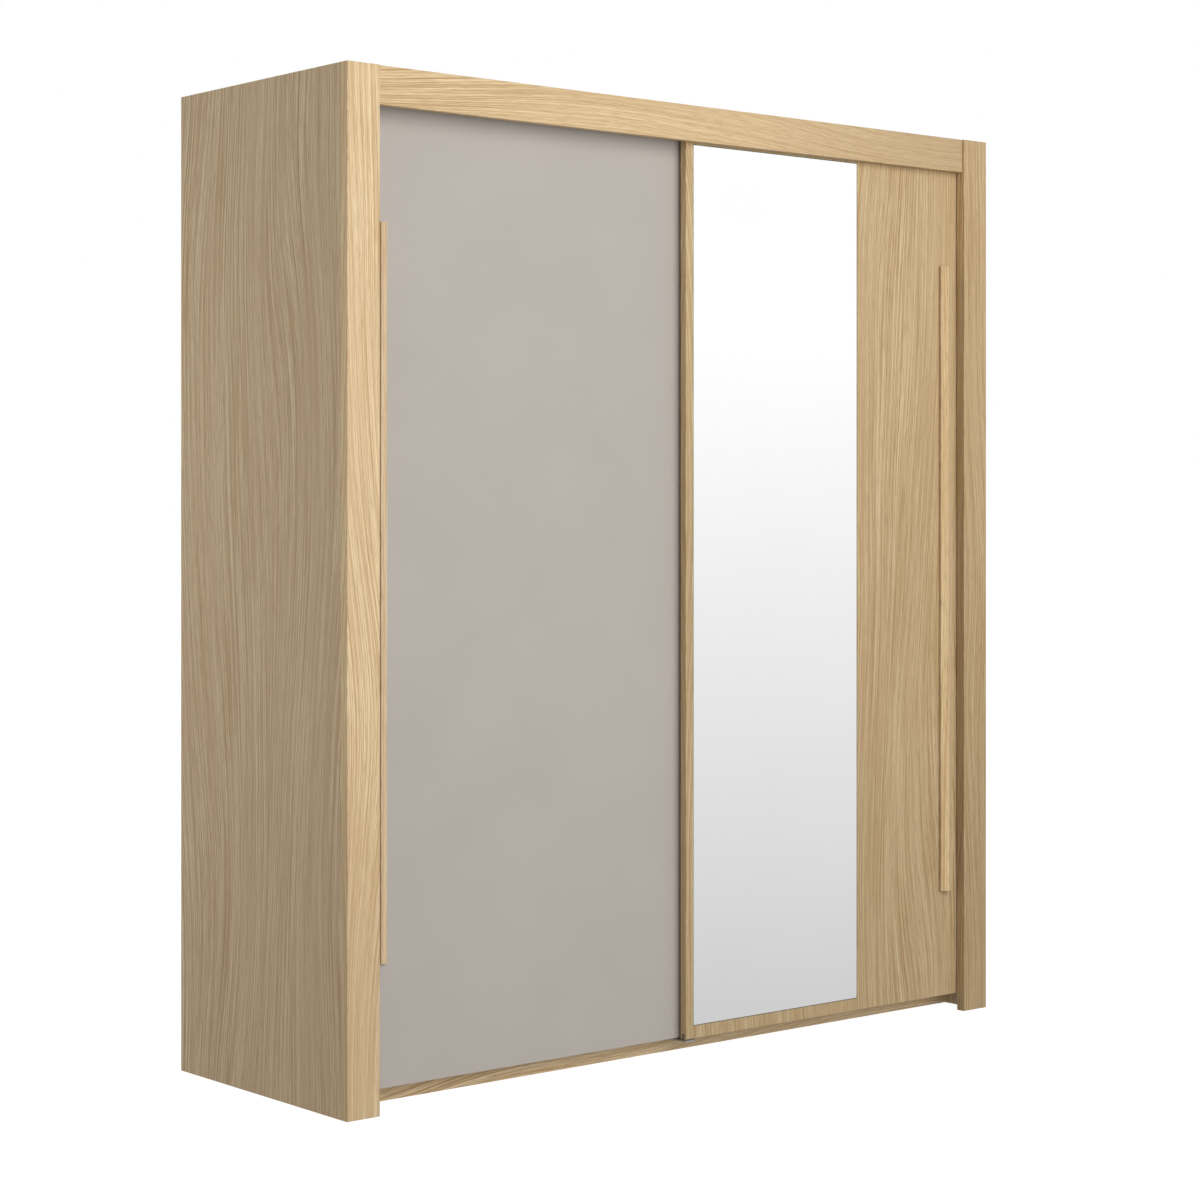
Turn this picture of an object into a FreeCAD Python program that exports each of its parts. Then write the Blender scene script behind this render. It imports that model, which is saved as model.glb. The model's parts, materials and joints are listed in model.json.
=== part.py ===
import FreeCAD, Part
import math
import os

# Two-door sliding wardrobe. Millimetres, +Z up. The origin is the middle of the footprint at floor level;
# the front faces -Y and the left door is on the -X side.

# ---------------------------------------------------------------- driving dimensions
WIDTH = 2000.0
DEPTH = 672.0
HEIGHT = 2240.0

# boards
SIDE_THICK = 29.0
CARCASS_THICK = 22.0            # top, bottom and partition
SHELF_THICK = 18.0              # shelves and plinths
BACK_THICK = 3.0
EDGE_ROUND = 1.0                # rounding of the edge bands

# front frame
POST_WIDTH = 84.0
POST_THICK = 24.0
FASCIA_HEIGHT = 84.0
FASCIA_THICK = 18.0

# plinth
PLINTH_HEIGHT = 60.0
PLINTH_SETBACK = 117.0          # front plinth behind the face of the posts
PLINTH_BACK_INSET = 48.0        # back plinth in front of the rear plane
BRACE_OFFSET = 485.0            # outer braces from the middle

# carcass interior
CARCASS_SETBACK = 90.0          # front edges of bottom and partition behind the face of the posts
SHELF_SETBACK = 10.0            # shelf fronts behind the partition's front edge
HAT_SPACE = 320.0               # clear height above the hat shelves
SHELF_COUNT = 4                 # adjustable shelves in the right bay
SHELF_SIDE_GAP = 1.0
SHELF_BACK_GAP = 12.0
SHELF_BACK_CLEARANCE = 1.0      # hat shelves to the back panel
BACK_INSET = 8.0                # back panels inside the rear plane
BACK_EDGE_MARGIN = 2.0          # back panels short of the carcass's outer edges
BACK_SEAM_GAP = 1.0
GROOVE_DEPTH = 8.0
GROOVE_CLEARANCE = 0.2
SEAM_STRIP_WIDTH = 30.0
SEAM_STRIP_THICK = 1.5

# shelf pins
PIN_RADIUS = 2.5
PIN_BITE = 8.0
PIN_REACH = 8.0
PIN_PITCH = 32.0
PIN_SPARE_HOLES = 2             # spare holes above and below each shelf
PIN_FRONT_INSET = 40.0
PIN_BACK_INSET = 50.0

# hanging rail
RAIL_HEIGHT = 30.0
RAIL_WIDTH = 15.0
RAIL_WALL = 1.2
RAIL_DROP = 60.0                # rail's middle below the hat shelf
RAIL_END_GAP = 1.0
SOCKET_WALL = 3.0
SOCKET_LENGTH = 12.0
SOCKET_FLANGE = 3.0
SOCKET_FLANGE_HEIGHT = 66.0
SOCKET_FIT = 0.2

# doors
DOOR_THICK = 19.0
DOOR_GAP = 11.0                 # between the front and the rear door
DOOR_OVERLAP = 35.0
DOOR_END_GAP = 11.0             # closed door's edge to the side panel
DOOR_BOTTOM = 43.0
DOOR_TOP_CLEARANCE = 10.0       # door top to the track
HANDLE_STOP_GAP = 13.5          # open front door's edge short of the rear handle

# mirror
MIRROR_WIDTH = 548.0
MIRROR_THICK = 4.0
MIRROR_SIDE_MARGIN = 23.5       # mirror to the front door's inner edge
MIRROR_END_MARGIN = 30.0        # mirror to the door's top and bottom
MIRROR_FIT = 0.6                # around the mirror in its recess
MIRROR_SINK = 0.2               # mirror's face below the door's face
PAD_THICK = 0.8
PAD_HEIGHT = 30.0
PAD_SIDE_INSET = 40.0
PAD_COUNT = 6

# handles
HANDLE_LENGTH = 1600.0
FRONT_HANDLE_WIDTH = 31.0
FRONT_HANDLE_DEPTH = 21.2
FRONT_HANDLE_FACE = 15.5        # flat front face beside the chamfer
FRONT_HANDLE_SIDE = 7.2         # low side below the chamfer
FRONT_HANDLE_GAP = 34.0         # handle to the right post's inner side
REAR_HANDLE_WIDTH = 16.0
REAR_HANDLE_DEPTH = 7.5
REAR_HANDLE_GAP = 39.0          # handle to the left post's inner side
HANDLE_ROUND = 0.8
HANDLE_SCREW_STEP = 480.0
FRONT_HANDLE_BITE = 12.0
REAR_HANDLE_BITE = 4.5

# track, hangers and wheels
TRACK_WALL = 2.0
TRACK_WEB = 2.5
TRACK_LIP = 2.0
TRACK_CAVITY = 21.6
TRACK_SLOT = 6.0
TRACK_FASCIA_GAP = 0.7
TRACK_END_GAP = 1.0
WHEEL_RADIUS = 10.0
WHEEL_WIDTH = 5.0
WHEEL_INNER = 3.4               # inner side of a wheel from the middle of its channel
WHEEL_TOP_GAP = 1.3
WHEEL_LIP_GAP = 0.2
AXLE_RADIUS = 2.5
AXLE_FIT = 0.05
AXLE_HEAD_RADIUS = 4.0
AXLE_HEAD = 1.2
AXLE_PLAY = 0.2
HANGER_THICK = 2.5
HANGER_WIDTH = 50.0
HANGER_DROP = 60.0
HANGER_LIFT = 3.0               # bend above the door's top
HANGER_CREST = 7.0              # plate above the axle
HANGER_INSET = 90.0             # hanger's middle from the door's edge
STOP_LENGTH = 20.0
STOP_GAP = 1.0
STOP_SIDE_GAP = 0.3
STOP_TOP_GAP = 0.5

# bottom guide
CHANNEL_WIDTH = 10.0
CHANNEL_DEPTH = 12.0
CHANNEL_WALL = 1.5
GUIDE_LENGTH = 30.0
GUIDE_FIT = 0.5
GUIDE_TOP_GAP = 1.5
GUIDE_BASE = 2.5
GUIDE_DOOR_GAP = 3.0
GUIDE_PLATE = 2.5
GUIDE_PLINTH_GAP = 1.0
GUIDE_FRONT = 5.0               # block in front of the front fin's middle

# wall brackets
BRACKET_THICK = 2.5
BRACKET_WIDTH = 40.0
BRACKET_LEG = 45.0
BRACKET_OFFSET = 700.0          # each bracket from the middle
BRACKET_HOLE_RADIUS = 3.0
BRACKET_HOLE_DROP = 28.0

# fasteners
SCREW_RADIUS = 2.0
SCREW_HEAD_RADIUS = 4.0
SCREW_HEAD = 2.0
SCREW_BITE = 14.0
PAN_HEAD = 1.6
PAN_HEAD_RADIUS = 3.8
TRACK_SCREWS = 6                # in each channel
CAM_RADIUS = 7.5
CAM_DEPTH = 12.5
CAM_INSET = 34.0
CAM_SLOT = 7.2
CAM_END_INSET = 50.0
BOLT_SHANK_RADIUS = 3.0
BOLT_HEAD_RADIUS = 3.4
BOLT_HEAD = 3.0
BOLT_BORE_RADIUS = 4.0
DOWEL_RADIUS = 4.0
DOWEL_SHORT = 12.0
DOWEL_LONG = 20.0
NAIL_RADIUS = 0.8
NAIL_HEAD_RADIUS = 1.8
NAIL_HEAD = 0.8
NAIL_BITE = 15.0
NAIL_PITCH = 180.0
NAIL_EDGE_INSET = 40.0
NAIL_SEAM_OFFSET = 6.0

# ---------------------------------------------------------------- derived places
Vector = FreeCAD.Vector
LEFT, RIGHT = -1, 1

y_front = -DEPTH / 2
y_rear = DEPTH / 2
y_post_back = y_front + POST_THICK
y_carcass = y_front + CARCASS_SETBACK
y_shelf = y_carcass + SHELF_SETBACK
y_back_rear = y_rear - BACK_INSET
y_back = y_back_rear - BACK_THICK

x_inner = WIDTH / 2 - SIDE_THICK
x_post = WIDTH / 2 - POST_WIDTH
x_partition = CARCASS_THICK / 2

z_floor = PLINTH_HEIGHT + CARCASS_THICK
z_ceiling = HEIGHT - CARCASS_THICK
z_hat = z_ceiling - HAT_SPACE - SHELF_THICK

track_height = TRACK_WEB + WHEEL_TOP_GAP + 2 * WHEEL_RADIUS + WHEEL_LIP_GAP + TRACK_LIP
z_track = z_ceiling - track_height
z_axle = z_track + TRACK_LIP + WHEEL_LIP_GAP + WHEEL_RADIUS
channel_pitch = DOOR_THICK + DOOR_GAP
y_front_channel = y_post_back + TRACK_FASCIA_GAP + TRACK_WALL + TRACK_CAVITY / 2
y_rear_channel = y_front_channel + channel_pitch

z_door_top = z_track - DOOR_TOP_CLEARANCE
door_width = (2 * (x_inner - DOOR_END_GAP) + DOOR_OVERLAP) / 2
x_door_outer = x_inner - DOOR_END_GAP
x_door_inner = door_width - x_door_outer
z_handle = (DOOR_BOTTOM + z_door_top - HANDLE_LENGTH) / 2
x_rear_handle = -x_post + REAR_HANDLE_GAP
door_travel = -x_door_inner - (x_rear_handle + REAR_HANDLE_WIDTH) - HANDLE_STOP_GAP

shelf_step = math.floor((z_hat - z_floor) / (SHELF_COUNT + 1) / PIN_PITCH) * PIN_PITCH
bolt_bite = CARCASS_THICK / 2 - 0.5


# ---------------------------------------------------------------- helpers
def board(x, y, z, rounded=()):
    """A board that spans x, y and z. The edges round each face named in rounded are eased."""
    low = Vector(x[0], y[0], z[0])
    solid = Part.makeBox(x[1] - x[0], y[1] - y[0], z[1] - z[0], low)
    planes = {"left": ("x", x[0]), "right": ("x", x[1]), "front": ("y", y[0]), "back": ("y", y[1])}
    edges = []
    for edge in solid.Edges:
        for face in rounded:
            axis, place = planes[face]
            ends = [getattr(vertex.Point, axis) for vertex in edge.Vertexes]
            if max(abs(end - place) for end in ends) < 0.001 and not any(edge.isSame(e) for e in edges):
                edges.append(edge)
    return solid.makeFillet(EDGE_ROUND, edges) if edges else solid


def mirrored(side, low, high):
    """The span from low to high on the right side, or its mirror image on the left."""
    return (low, high) if side == RIGHT else (-high, -low)


def rod(radius, start, end):
    """A round bar between two points."""
    return Part.makeCylinder(radius, (end - start).Length, start, end - start)


def extruded(points, x):
    """A profile of (y, z) points, drawn out along X."""
    corners = [Vector(x[0], y, z) for y, z in points]
    face = Part.Face(Part.makePolygon(corners + corners[:1]))
    return face.extrude(Vector(x[1] - x[0], 0, 0))


def oval(width, height, y, z, x):
    """A bar of upright oval section, round at top and bottom, drawn out along X."""
    radius = width / 2
    lift = height / 2 - radius
    top, bottom = Vector(x[0], y, z + lift), Vector(x[0], y, z - lift)
    side, rise = Vector(0, radius, 0), Vector(0, 0, radius)
    outline = [
        Part.LineSegment(bottom + side, top + side).toShape(),
        Part.Arc(top + side, top + rise, top - side).toShape(),
        Part.LineSegment(top - side, bottom - side).toShape(),
        Part.Arc(bottom - side, bottom - rise, bottom + side).toShape(),
    ]
    return Part.Face(Part.Wire(outline)).extrude(Vector(x[1] - x[0], 0, 0))


def flat_screw(seat, way, length):
    """A countersunk wood screw. Its head is flush with seat, and it points along way."""
    head = Part.makeCone(SCREW_HEAD_RADIUS, SCREW_RADIUS, SCREW_HEAD, seat, way)
    return head.fuse(rod(SCREW_RADIUS, seat, seat + way * length)).removeSplitter()


def pan_screw(seat, way, length):
    """A pan-head wood screw. Its head stands on seat, and it points along way."""
    head = rod(PAN_HEAD_RADIUS, seat - way * PAN_HEAD, seat)
    return head.fuse(rod(SCREW_RADIUS, seat, seat + way * length)).removeSplitter()


def nail(seat, length):
    """A back-panel nail. Its head stands on seat, and it points to the front."""
    head = rod(NAIL_HEAD_RADIUS, seat, seat + Vector(0, NAIL_HEAD, 0))
    return head.fuse(rod(NAIL_RADIUS, seat, seat - Vector(0, length, 0))).removeSplitter()


def spread(low, high, count):
    """Evenly spaced places from low to high."""
    return [low + (high - low) * i / (count - 1) for i in range(count)]


def drilled(solid, *groups):
    """The solid with a hole for each fastener that reaches it."""
    meets = [tool for group in groups for tool in group if tool.BoundBox.intersect(solid.BoundBox)]
    return solid.cut(meets) if meets else solid


def write(name, *solids):
    """One STEP file for a sub-part, from its separate solids."""
    shape = solids[0] if len(solids) == 1 else Part.makeCompound(list(solids))
    shape.exportStep(f"parts/{name}.step")


# ---------------------------------------------------------------- carcass fasteners
def cam_fitting(x_face, inward, y, z_under, thick):
    """A cam in a board's underside, its bolt in the upright, and the bores that they need."""
    x_cam = x_face + inward * CAM_INSET
    z_bolt = z_under + thick / 2
    along = Vector(inward, 0, 0)
    face = Vector(x_face, y, z_bolt)
    middle = Vector(x_cam, y, z_bolt)
    neck = middle - along * BOLT_HEAD
    housing = rod(CAM_RADIUS, Vector(x_cam, y, z_under), Vector(x_cam, y, z_under + CAM_DEPTH))
    reach = sorted((x_cam + inward, x_cam - inward * (CAM_RADIUS + 1)))
    half = CAM_SLOT / 2
    slot = board(reach, (y - half, y + half), (z_bolt - half, z_bolt + half))
    key = board((x_cam - 4, x_cam + 4), (y - 0.6, y + 0.6), (z_under, z_under + 1.2))
    shank = rod(BOLT_SHANK_RADIUS, face, neck).fuse(rod(BOLT_HEAD_RADIUS, neck, middle))
    bolt = shank.fuse(rod(PIN_RADIUS, face - along * bolt_bite, face)).removeSplitter()
    bore = housing.fuse(rod(BOLT_BORE_RADIUS, face, middle))
    return housing.cut([slot, key]), bolt, bore


def cam_fittings():
    """Cams, bolts and bores for the top, the bottom and both hat shelves."""
    fittings = []
    deep = (y_carcass + CAM_END_INSET, (y_carcass + y_back) / 2, y_back - CAM_END_INSET)
    for side in (LEFT, RIGHT):
        for y in deep:
            for z_under in (PLINTH_HEIGHT, z_ceiling):
                fittings.append(cam_fitting(side * x_inner, -side, y, z_under, CARCASS_THICK))
        for y in (deep[0], deep[2]):
            fittings.append(cam_fitting(side * x_inner, -side, y, z_hat, SHELF_THICK))
            fittings.append(cam_fitting(side * x_partition, side, y, z_hat, SHELF_THICK))
    return zip(*fittings)


def dowel(joint, way, back, ahead):
    """A dowel through the joint face, back into one board and ahead into the other."""
    return rod(DOWEL_RADIUS, joint - way * back, joint + way * ahead)


def dowels():
    """Dowels of the posts, fascia, plinths and partition."""
    pegs = []
    to_back, outward, up = Vector(0, 1, 0), Vector(1, 0, 0), Vector(0, 0, 1)
    y_plinths = (y_front + PLINTH_SETBACK + SHELF_THICK / 2, y_rear - PLINTH_BACK_INSET - SHELF_THICK / 2)
    for side in (LEFT, RIGHT):
        x_edge = side * (WIDTH - SIDE_THICK) / 2
        for z in spread(120.0, HEIGHT - 120.0, 5):
            pegs.append(dowel(Vector(x_edge, y_post_back, z), to_back, DOWEL_SHORT, DOWEL_LONG))
        for y in y_plinths:
            end = Vector(side * x_inner, y, PLINTH_HEIGHT / 2)
            pegs.append(dowel(end, outward * side, DOWEL_LONG, DOWEL_SHORT))
    for x in spread(-x_post + 100.0, x_post - 100.0, 6):
        joint = Vector(x, y_post_back, z_ceiling + CARCASS_THICK / 2)
        pegs.append(dowel(joint, to_back, DOWEL_SHORT, DOWEL_LONG))
    for y in spread(y_carcass + 60.0, y_back - 60.0, 3):
        pegs.append(dowel(Vector(0, y, z_floor), up, DOWEL_SHORT, DOWEL_LONG))
        pegs.append(dowel(Vector(0, y, z_ceiling), up, DOWEL_LONG, DOWEL_SHORT))
    return pegs


def back_nails():
    """Nails along the top and bottom edges and through the seam strip."""
    nails = []
    length = BACK_THICK + NAIL_BITE
    count = int((x_inner - 2 * NAIL_EDGE_INSET) // NAIL_PITCH) + 1
    for side in (LEFT, RIGHT):
        for x in spread(NAIL_EDGE_INSET, x_inner - NAIL_EDGE_INSET, count):
            for z in (PLINTH_HEIGHT + CARCASS_THICK / 2, z_ceiling + CARCASS_THICK / 2):
                nails.append(nail(Vector(side * x, y_back_rear, z), length))
        rows = int((z_ceiling - z_floor - 2 * NAIL_EDGE_INSET) // NAIL_PITCH) + 1
        for z in spread(z_floor + NAIL_EDGE_INSET, z_ceiling - NAIL_EDGE_INSET, rows):
            seat = Vector(side * NAIL_SEAM_OFFSET, y_back_rear + SEAM_STRIP_THICK, z)
            nails.append(nail(seat, length + SEAM_STRIP_THICK))
    return nails


def shelf_heights():
    """Undersides of the adjustable shelves."""
    return [z_floor + shelf_step * (i + 1) for i in range(SHELF_COUNT)]


def pin_rows():
    """The front and back places of the shelf pins."""
    return (y_shelf + PIN_FRONT_INSET, y_back - SHELF_BACK_GAP - PIN_BACK_INSET)


def pin_ends():
    """Where a pin enters an upright of the right bay, and the way that it points into the bay."""
    return ((x_partition, Vector(1, 0, 0)), (x_inner, Vector(-1, 0, 0)))


def shelf_pins():
    """Four pins under each adjustable shelf."""
    pins = []
    for z in shelf_heights():
        for y in pin_rows():
            for x, way in pin_ends():
                middle = Vector(x, y, z - PIN_RADIUS)
                pins.append(rod(PIN_RADIUS, middle - way * PIN_BITE, middle + way * PIN_REACH))
    return pins


def pin_holes():
    """A short row of pin holes round each shelf's place, in both uprights of the right bay."""
    holes = []
    for z in shelf_heights():
        for y in pin_rows():
            for x, way in pin_ends():
                for step in range(-PIN_SPARE_HOLES, PIN_SPARE_HOLES + 1):
                    mouth = Vector(x, y, z - PIN_RADIUS + step * PIN_PITCH)
                    holes.append(rod(PIN_RADIUS, mouth - way * PIN_BITE, mouth))
    return holes


# ---------------------------------------------------------------- carcass
def side_panel(side):
    """An upright side from floor to top, with a groove for the back panel."""
    edges = ("back",)
    panel = board(mirrored(side, x_inner, WIDTH / 2), (y_post_back, y_rear), (0, HEIGHT), edges)
    groove_y = (y_back - GROOVE_CLEARANCE, y_back_rear + GROOVE_CLEARANCE)
    groove_x = mirrored(side, x_inner - 1, x_inner + GROOVE_DEPTH)
    return panel.cut(board(groove_x, groove_y, (PLINTH_HEIGHT, HEIGHT)))


def post(side):
    """The broad upright that frames the front."""
    return board(mirrored(side, x_post, WIDTH / 2), (y_front, y_post_back), (0, HEIGHT), ("front",))


def fascia():
    """The board between the posts that hides the track."""
    y = (y_post_back - FASCIA_THICK, y_post_back)
    return board((-x_post, x_post), y, (HEIGHT - FASCIA_HEIGHT, HEIGHT), ("front",))


def top_panel():
    return board((-x_inner, x_inner), (y_post_back, y_back), (z_ceiling, HEIGHT))


def bottom_panel():
    return board((-x_inner, x_inner), (y_carcass, y_back), (PLINTH_HEIGHT, z_floor), ("front",))


def partition():
    return board((-x_partition, x_partition), (y_carcass, y_back), (z_floor, z_ceiling), ("front",))


def plinth(y):
    """A plinth board whose front face is at y."""
    return board((-x_inner, x_inner), (y, y + SHELF_THICK), (0, PLINTH_HEIGHT))


def plinth_braces():
    """Short boards on the floor that tie the two plinths."""
    y = (y_front + PLINTH_SETBACK + SHELF_THICK, y_rear - PLINTH_BACK_INSET - SHELF_THICK)
    half = SHELF_THICK / 2
    return [board((x - half, x + half), y, (0, PLINTH_HEIGHT)) for x in (-BRACE_OFFSET, 0, BRACE_OFFSET)]


def back_panel(side):
    """A thin back in one bay. Its outer edge sits in the side panel's groove."""
    x = mirrored(side, BACK_SEAM_GAP / 2, x_inner + GROOVE_DEPTH - GROOVE_CLEARANCE)
    z = (PLINTH_HEIGHT + BACK_EDGE_MARGIN, HEIGHT - BACK_EDGE_MARGIN)
    x_hole = side * BRACKET_OFFSET
    z_hole = z_ceiling - BRACKET_HOLE_DROP
    hole = rod(BRACKET_HOLE_RADIUS, Vector(x_hole, y_back - 1, z_hole), Vector(x_hole, y_rear, z_hole))
    return board(x, (y_back, y_back_rear), z).cut(hole)


def back_seam_strip():
    """The strip over the joint between the two back panels."""
    half = SEAM_STRIP_WIDTH / 2
    z = (PLINTH_HEIGHT + BACK_EDGE_MARGIN, HEIGHT - BACK_EDGE_MARGIN)
    return board((-half, half), (y_back_rear, y_back_rear + SEAM_STRIP_THICK), z)


def hat_shelf(side):
    x = mirrored(side, x_partition, x_inner)
    return board(x, (y_shelf, y_back - SHELF_BACK_CLEARANCE), (z_hat, z_hat + SHELF_THICK), ("front",))


def adjustable_shelf(z):
    x = (x_partition + SHELF_SIDE_GAP, x_inner - SHELF_SIDE_GAP)
    return board(x, (y_shelf, y_back - SHELF_BACK_GAP), (z, z + SHELF_THICK), ("front",))


# ---------------------------------------------------------------- hanging rail
y_rail = (y_carcass + y_back) / 2
z_rail = z_hat - RAIL_DROP


def hanging_rail():
    """Oval tube across the left bay."""
    x = (-x_inner + SOCKET_FLANGE + RAIL_END_GAP, -x_partition - SOCKET_FLANGE - RAIL_END_GAP)
    inside = oval(RAIL_WIDTH - 2 * RAIL_WALL, RAIL_HEIGHT - 2 * RAIL_WALL, y_rail, z_rail, x)
    return oval(RAIL_WIDTH, RAIL_HEIGHT, y_rail, z_rail, x).cut(inside)


def rail_socket(x_face, inward):
    """A flange on the upright with an oval collar that takes the rail's end."""
    width = RAIL_WIDTH + 2 * (SOCKET_FIT + SOCKET_WALL)
    height = RAIL_HEIGHT + 2 * (SOCKET_FIT + SOCKET_WALL)
    x_flange = sorted((x_face, x_face + inward * SOCKET_FLANGE))
    x_collar = sorted((x_face + inward * SOCKET_FLANGE, x_face + inward * SOCKET_LENGTH))
    flange = oval(width, SOCKET_FLANGE_HEIGHT, y_rail, z_rail, x_flange)
    collar = oval(width, height, y_rail, z_rail, x_collar)
    hollow = oval(RAIL_WIDTH + 2 * SOCKET_FIT, RAIL_HEIGHT + 2 * SOCKET_FIT, y_rail, z_rail, x_collar)
    return flange.fuse(collar.cut(hollow)).removeSplitter()


def rail_sockets():
    return [rail_socket(-x_inner, RIGHT), rail_socket(-x_partition, LEFT)]


def rail_screws():
    """Two screws through each socket's flange."""
    screws = []
    lift = SOCKET_FLANGE_HEIGHT / 2 - RAIL_WIDTH / 2
    bite = SOCKET_FLANGE + bolt_bite
    for x, way in ((-x_inner + SOCKET_FLANGE, LEFT), (-x_partition - SOCKET_FLANGE, RIGHT)):
        for z in (z_rail - lift, z_rail + lift):
            screws.append(flat_screw(Vector(x, y_rail, z), Vector(way, 0, 0), bite))
    return screws


# ---------------------------------------------------------------- track
def door_track():
    """Twin channel under the top. The hangers pass through the slots in its underside."""
    x = (-x_inner + TRACK_END_GAP, x_inner - TRACK_END_GAP)
    half = TRACK_CAVITY / 2
    y = (y_front_channel - half - TRACK_WALL, y_rear_channel + half + TRACK_WALL)
    roof = z_ceiling - TRACK_WEB
    cuts = [board(x, (y_front_channel + half + TRACK_WALL, y_rear_channel - half - TRACK_WALL), (z_track, roof))]
    for middle in (y_front_channel, y_rear_channel):
        cuts.append(board(x, (middle - half, middle + half), (z_track + TRACK_LIP, roof)))
        slot = (middle - TRACK_SLOT / 2, middle + TRACK_SLOT / 2)
        cuts.append(board(x, slot, (z_track, z_track + TRACK_LIP)))
    return board(x, y, (z_track, z_ceiling)).cut(cuts)


def track_screws():
    """Flush screws up through both channels into the top."""
    screws = []
    for y in (y_front_channel, y_rear_channel):
        for x in spread(-x_inner + 60.0, x_inner - 60.0, TRACK_SCREWS):
            seat = Vector(x, y, z_ceiling - TRACK_WEB)
            screws.append(flat_screw(seat, Vector(0, 0, 1), TRACK_WEB + SCREW_BITE))
    return screws


def stop_block(x_contact, way, y):
    """A rubber stop in a channel. A hanger meets it at x_contact, and it lies beyond that along way."""
    half = TRACK_CAVITY / 2 - STOP_SIDE_GAP
    x = sorted((x_contact, x_contact + way * STOP_LENGTH))
    return board(x, (y - half, y + half), (z_track + TRACK_LIP, z_ceiling - TRACK_WEB - STOP_TOP_GAP))


def track_stops():
    """A stop at each end of each door's travel."""
    outer = x_door_outer - HANGER_INSET + HANGER_WIDTH / 2 + STOP_GAP
    inner = x_door_inner - HANGER_INSET + door_travel + HANGER_WIDTH / 2 + STOP_GAP
    return [
        stop_block(outer, RIGHT, y_front_channel),
        stop_block(-inner, LEFT, y_front_channel),
        stop_block(-outer, LEFT, y_rear_channel),
        stop_block(inner, RIGHT, y_rear_channel),
    ]


# ---------------------------------------------------------------- bottom guide
z_guide_base = DOOR_BOTTOM - GUIDE_DOOR_GAP - GUIDE_BASE
y_plinth = y_front + PLINTH_SETBACK


def guide_bracket():
    """A stepped steel plate from the bottom panel's underside forward under both doors."""
    t = GUIDE_PLATE
    y_tail = y_plinth - GUIDE_PLINTH_GAP
    y_drop = y_carcass + 2 * t
    y_nose = y_front_channel - GUIDE_FRONT
    outline = [
        (y_tail, PLINTH_HEIGHT),
        (y_drop - t, PLINTH_HEIGHT),
        (y_drop - t, z_guide_base),
        (y_nose, z_guide_base),
        (y_nose, z_guide_base - t),
        (y_drop, z_guide_base - t),
        (y_drop, PLINTH_HEIGHT - t),
        (y_tail, PLINTH_HEIGHT - t),
    ]
    return extruded(outline, (-GUIDE_LENGTH / 2, GUIDE_LENGTH / 2))


def guide_block():
    """Nylon block with one fin for each door's channel."""
    x = (-GUIDE_LENGTH / 2, GUIDE_LENGTH / 2)
    z_base = (z_guide_base, z_guide_base + GUIDE_BASE)
    block = board(x, (y_front_channel - GUIDE_FRONT, y_rear_channel + GUIDE_FRONT), z_base)
    half = CHANNEL_WIDTH / 2 - CHANNEL_WALL - GUIDE_FIT
    z_fin = (z_base[1], DOOR_BOTTOM + CHANNEL_DEPTH - CHANNEL_WALL - GUIDE_TOP_GAP)
    for middle in (y_front_channel, y_rear_channel):
        block = block.fuse(board(x, (middle - half, middle + half), z_fin, ("left", "right")))
    return block.removeSplitter()


def guide_screws():
    """Two screws up into the bottom panel, and two up through the plate into the block."""
    up = Vector(0, 0, 1)
    screws = []
    y_panel = (y_carcass + 2 * GUIDE_PLATE + y_plinth) / 2
    y_block = (y_front_channel + y_rear_channel) / 2
    for x in (-GUIDE_LENGTH / 4, GUIDE_LENGTH / 4):
        seat = Vector(x, y_panel, PLINTH_HEIGHT - GUIDE_PLATE)
        screws.append(flat_screw(seat, up, GUIDE_PLATE + SCREW_BITE))
        seat = Vector(x, y_block, z_guide_base - GUIDE_PLATE)
        screws.append(flat_screw(seat, up, GUIDE_PLATE + GUIDE_BASE - 0.5))
    return screws


# ---------------------------------------------------------------- wall brackets
def wall_bracket(side):
    """An angle under the top at the back, with one hole towards the wall."""
    t = BRACKET_THICK
    x = side * BRACKET_OFFSET
    outline = [
        (y_back, z_ceiling),
        (y_back - BRACKET_LEG, z_ceiling),
        (y_back - BRACKET_LEG, z_ceiling - t),
        (y_back - t, z_ceiling - t),
        (y_back - t, z_ceiling - BRACKET_LEG),
        (y_back, z_ceiling - BRACKET_LEG),
    ]
    z = z_ceiling - BRACKET_HOLE_DROP
    hole = rod(BRACKET_HOLE_RADIUS, Vector(x, y_back - 2 * t, z), Vector(x, y_back + 1, z))
    return extruded(outline, (x - BRACKET_WIDTH / 2, x + BRACKET_WIDTH / 2)).cut(hole)


def wall_bracket_screws():
    """Two screws from each bracket up into the top."""
    y = y_back - BRACKET_LEG * 0.6
    screws = []
    for side in (LEFT, RIGHT):
        for shift in (-BRACKET_WIDTH / 4, BRACKET_WIDTH / 4):
            seat = Vector(side * BRACKET_OFFSET + shift, y, z_ceiling - BRACKET_THICK)
            screws.append(pan_screw(seat, Vector(0, 0, 1), BRACKET_THICK + SCREW_BITE))
    return screws


# ---------------------------------------------------------------- doors
def door_span(side):
    """A door's width: the right door's, or its mirror image."""
    return mirrored(side, -x_door_inner, x_door_outer)


def door_board(side, y_channel):
    """A door panel centred on its channel, with a groove in its bottom edge for the guide channel."""
    x = door_span(side)
    half = DOOR_THICK / 2
    panel = board(x, (y_channel - half, y_channel + half), (DOOR_BOTTOM, z_door_top), ("front", "back"))
    groove = (y_channel - CHANNEL_WIDTH / 2, y_channel + CHANNEL_WIDTH / 2)
    return panel.cut(board(x, groove, (DOOR_BOTTOM, DOOR_BOTTOM + CHANNEL_DEPTH)))


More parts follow.
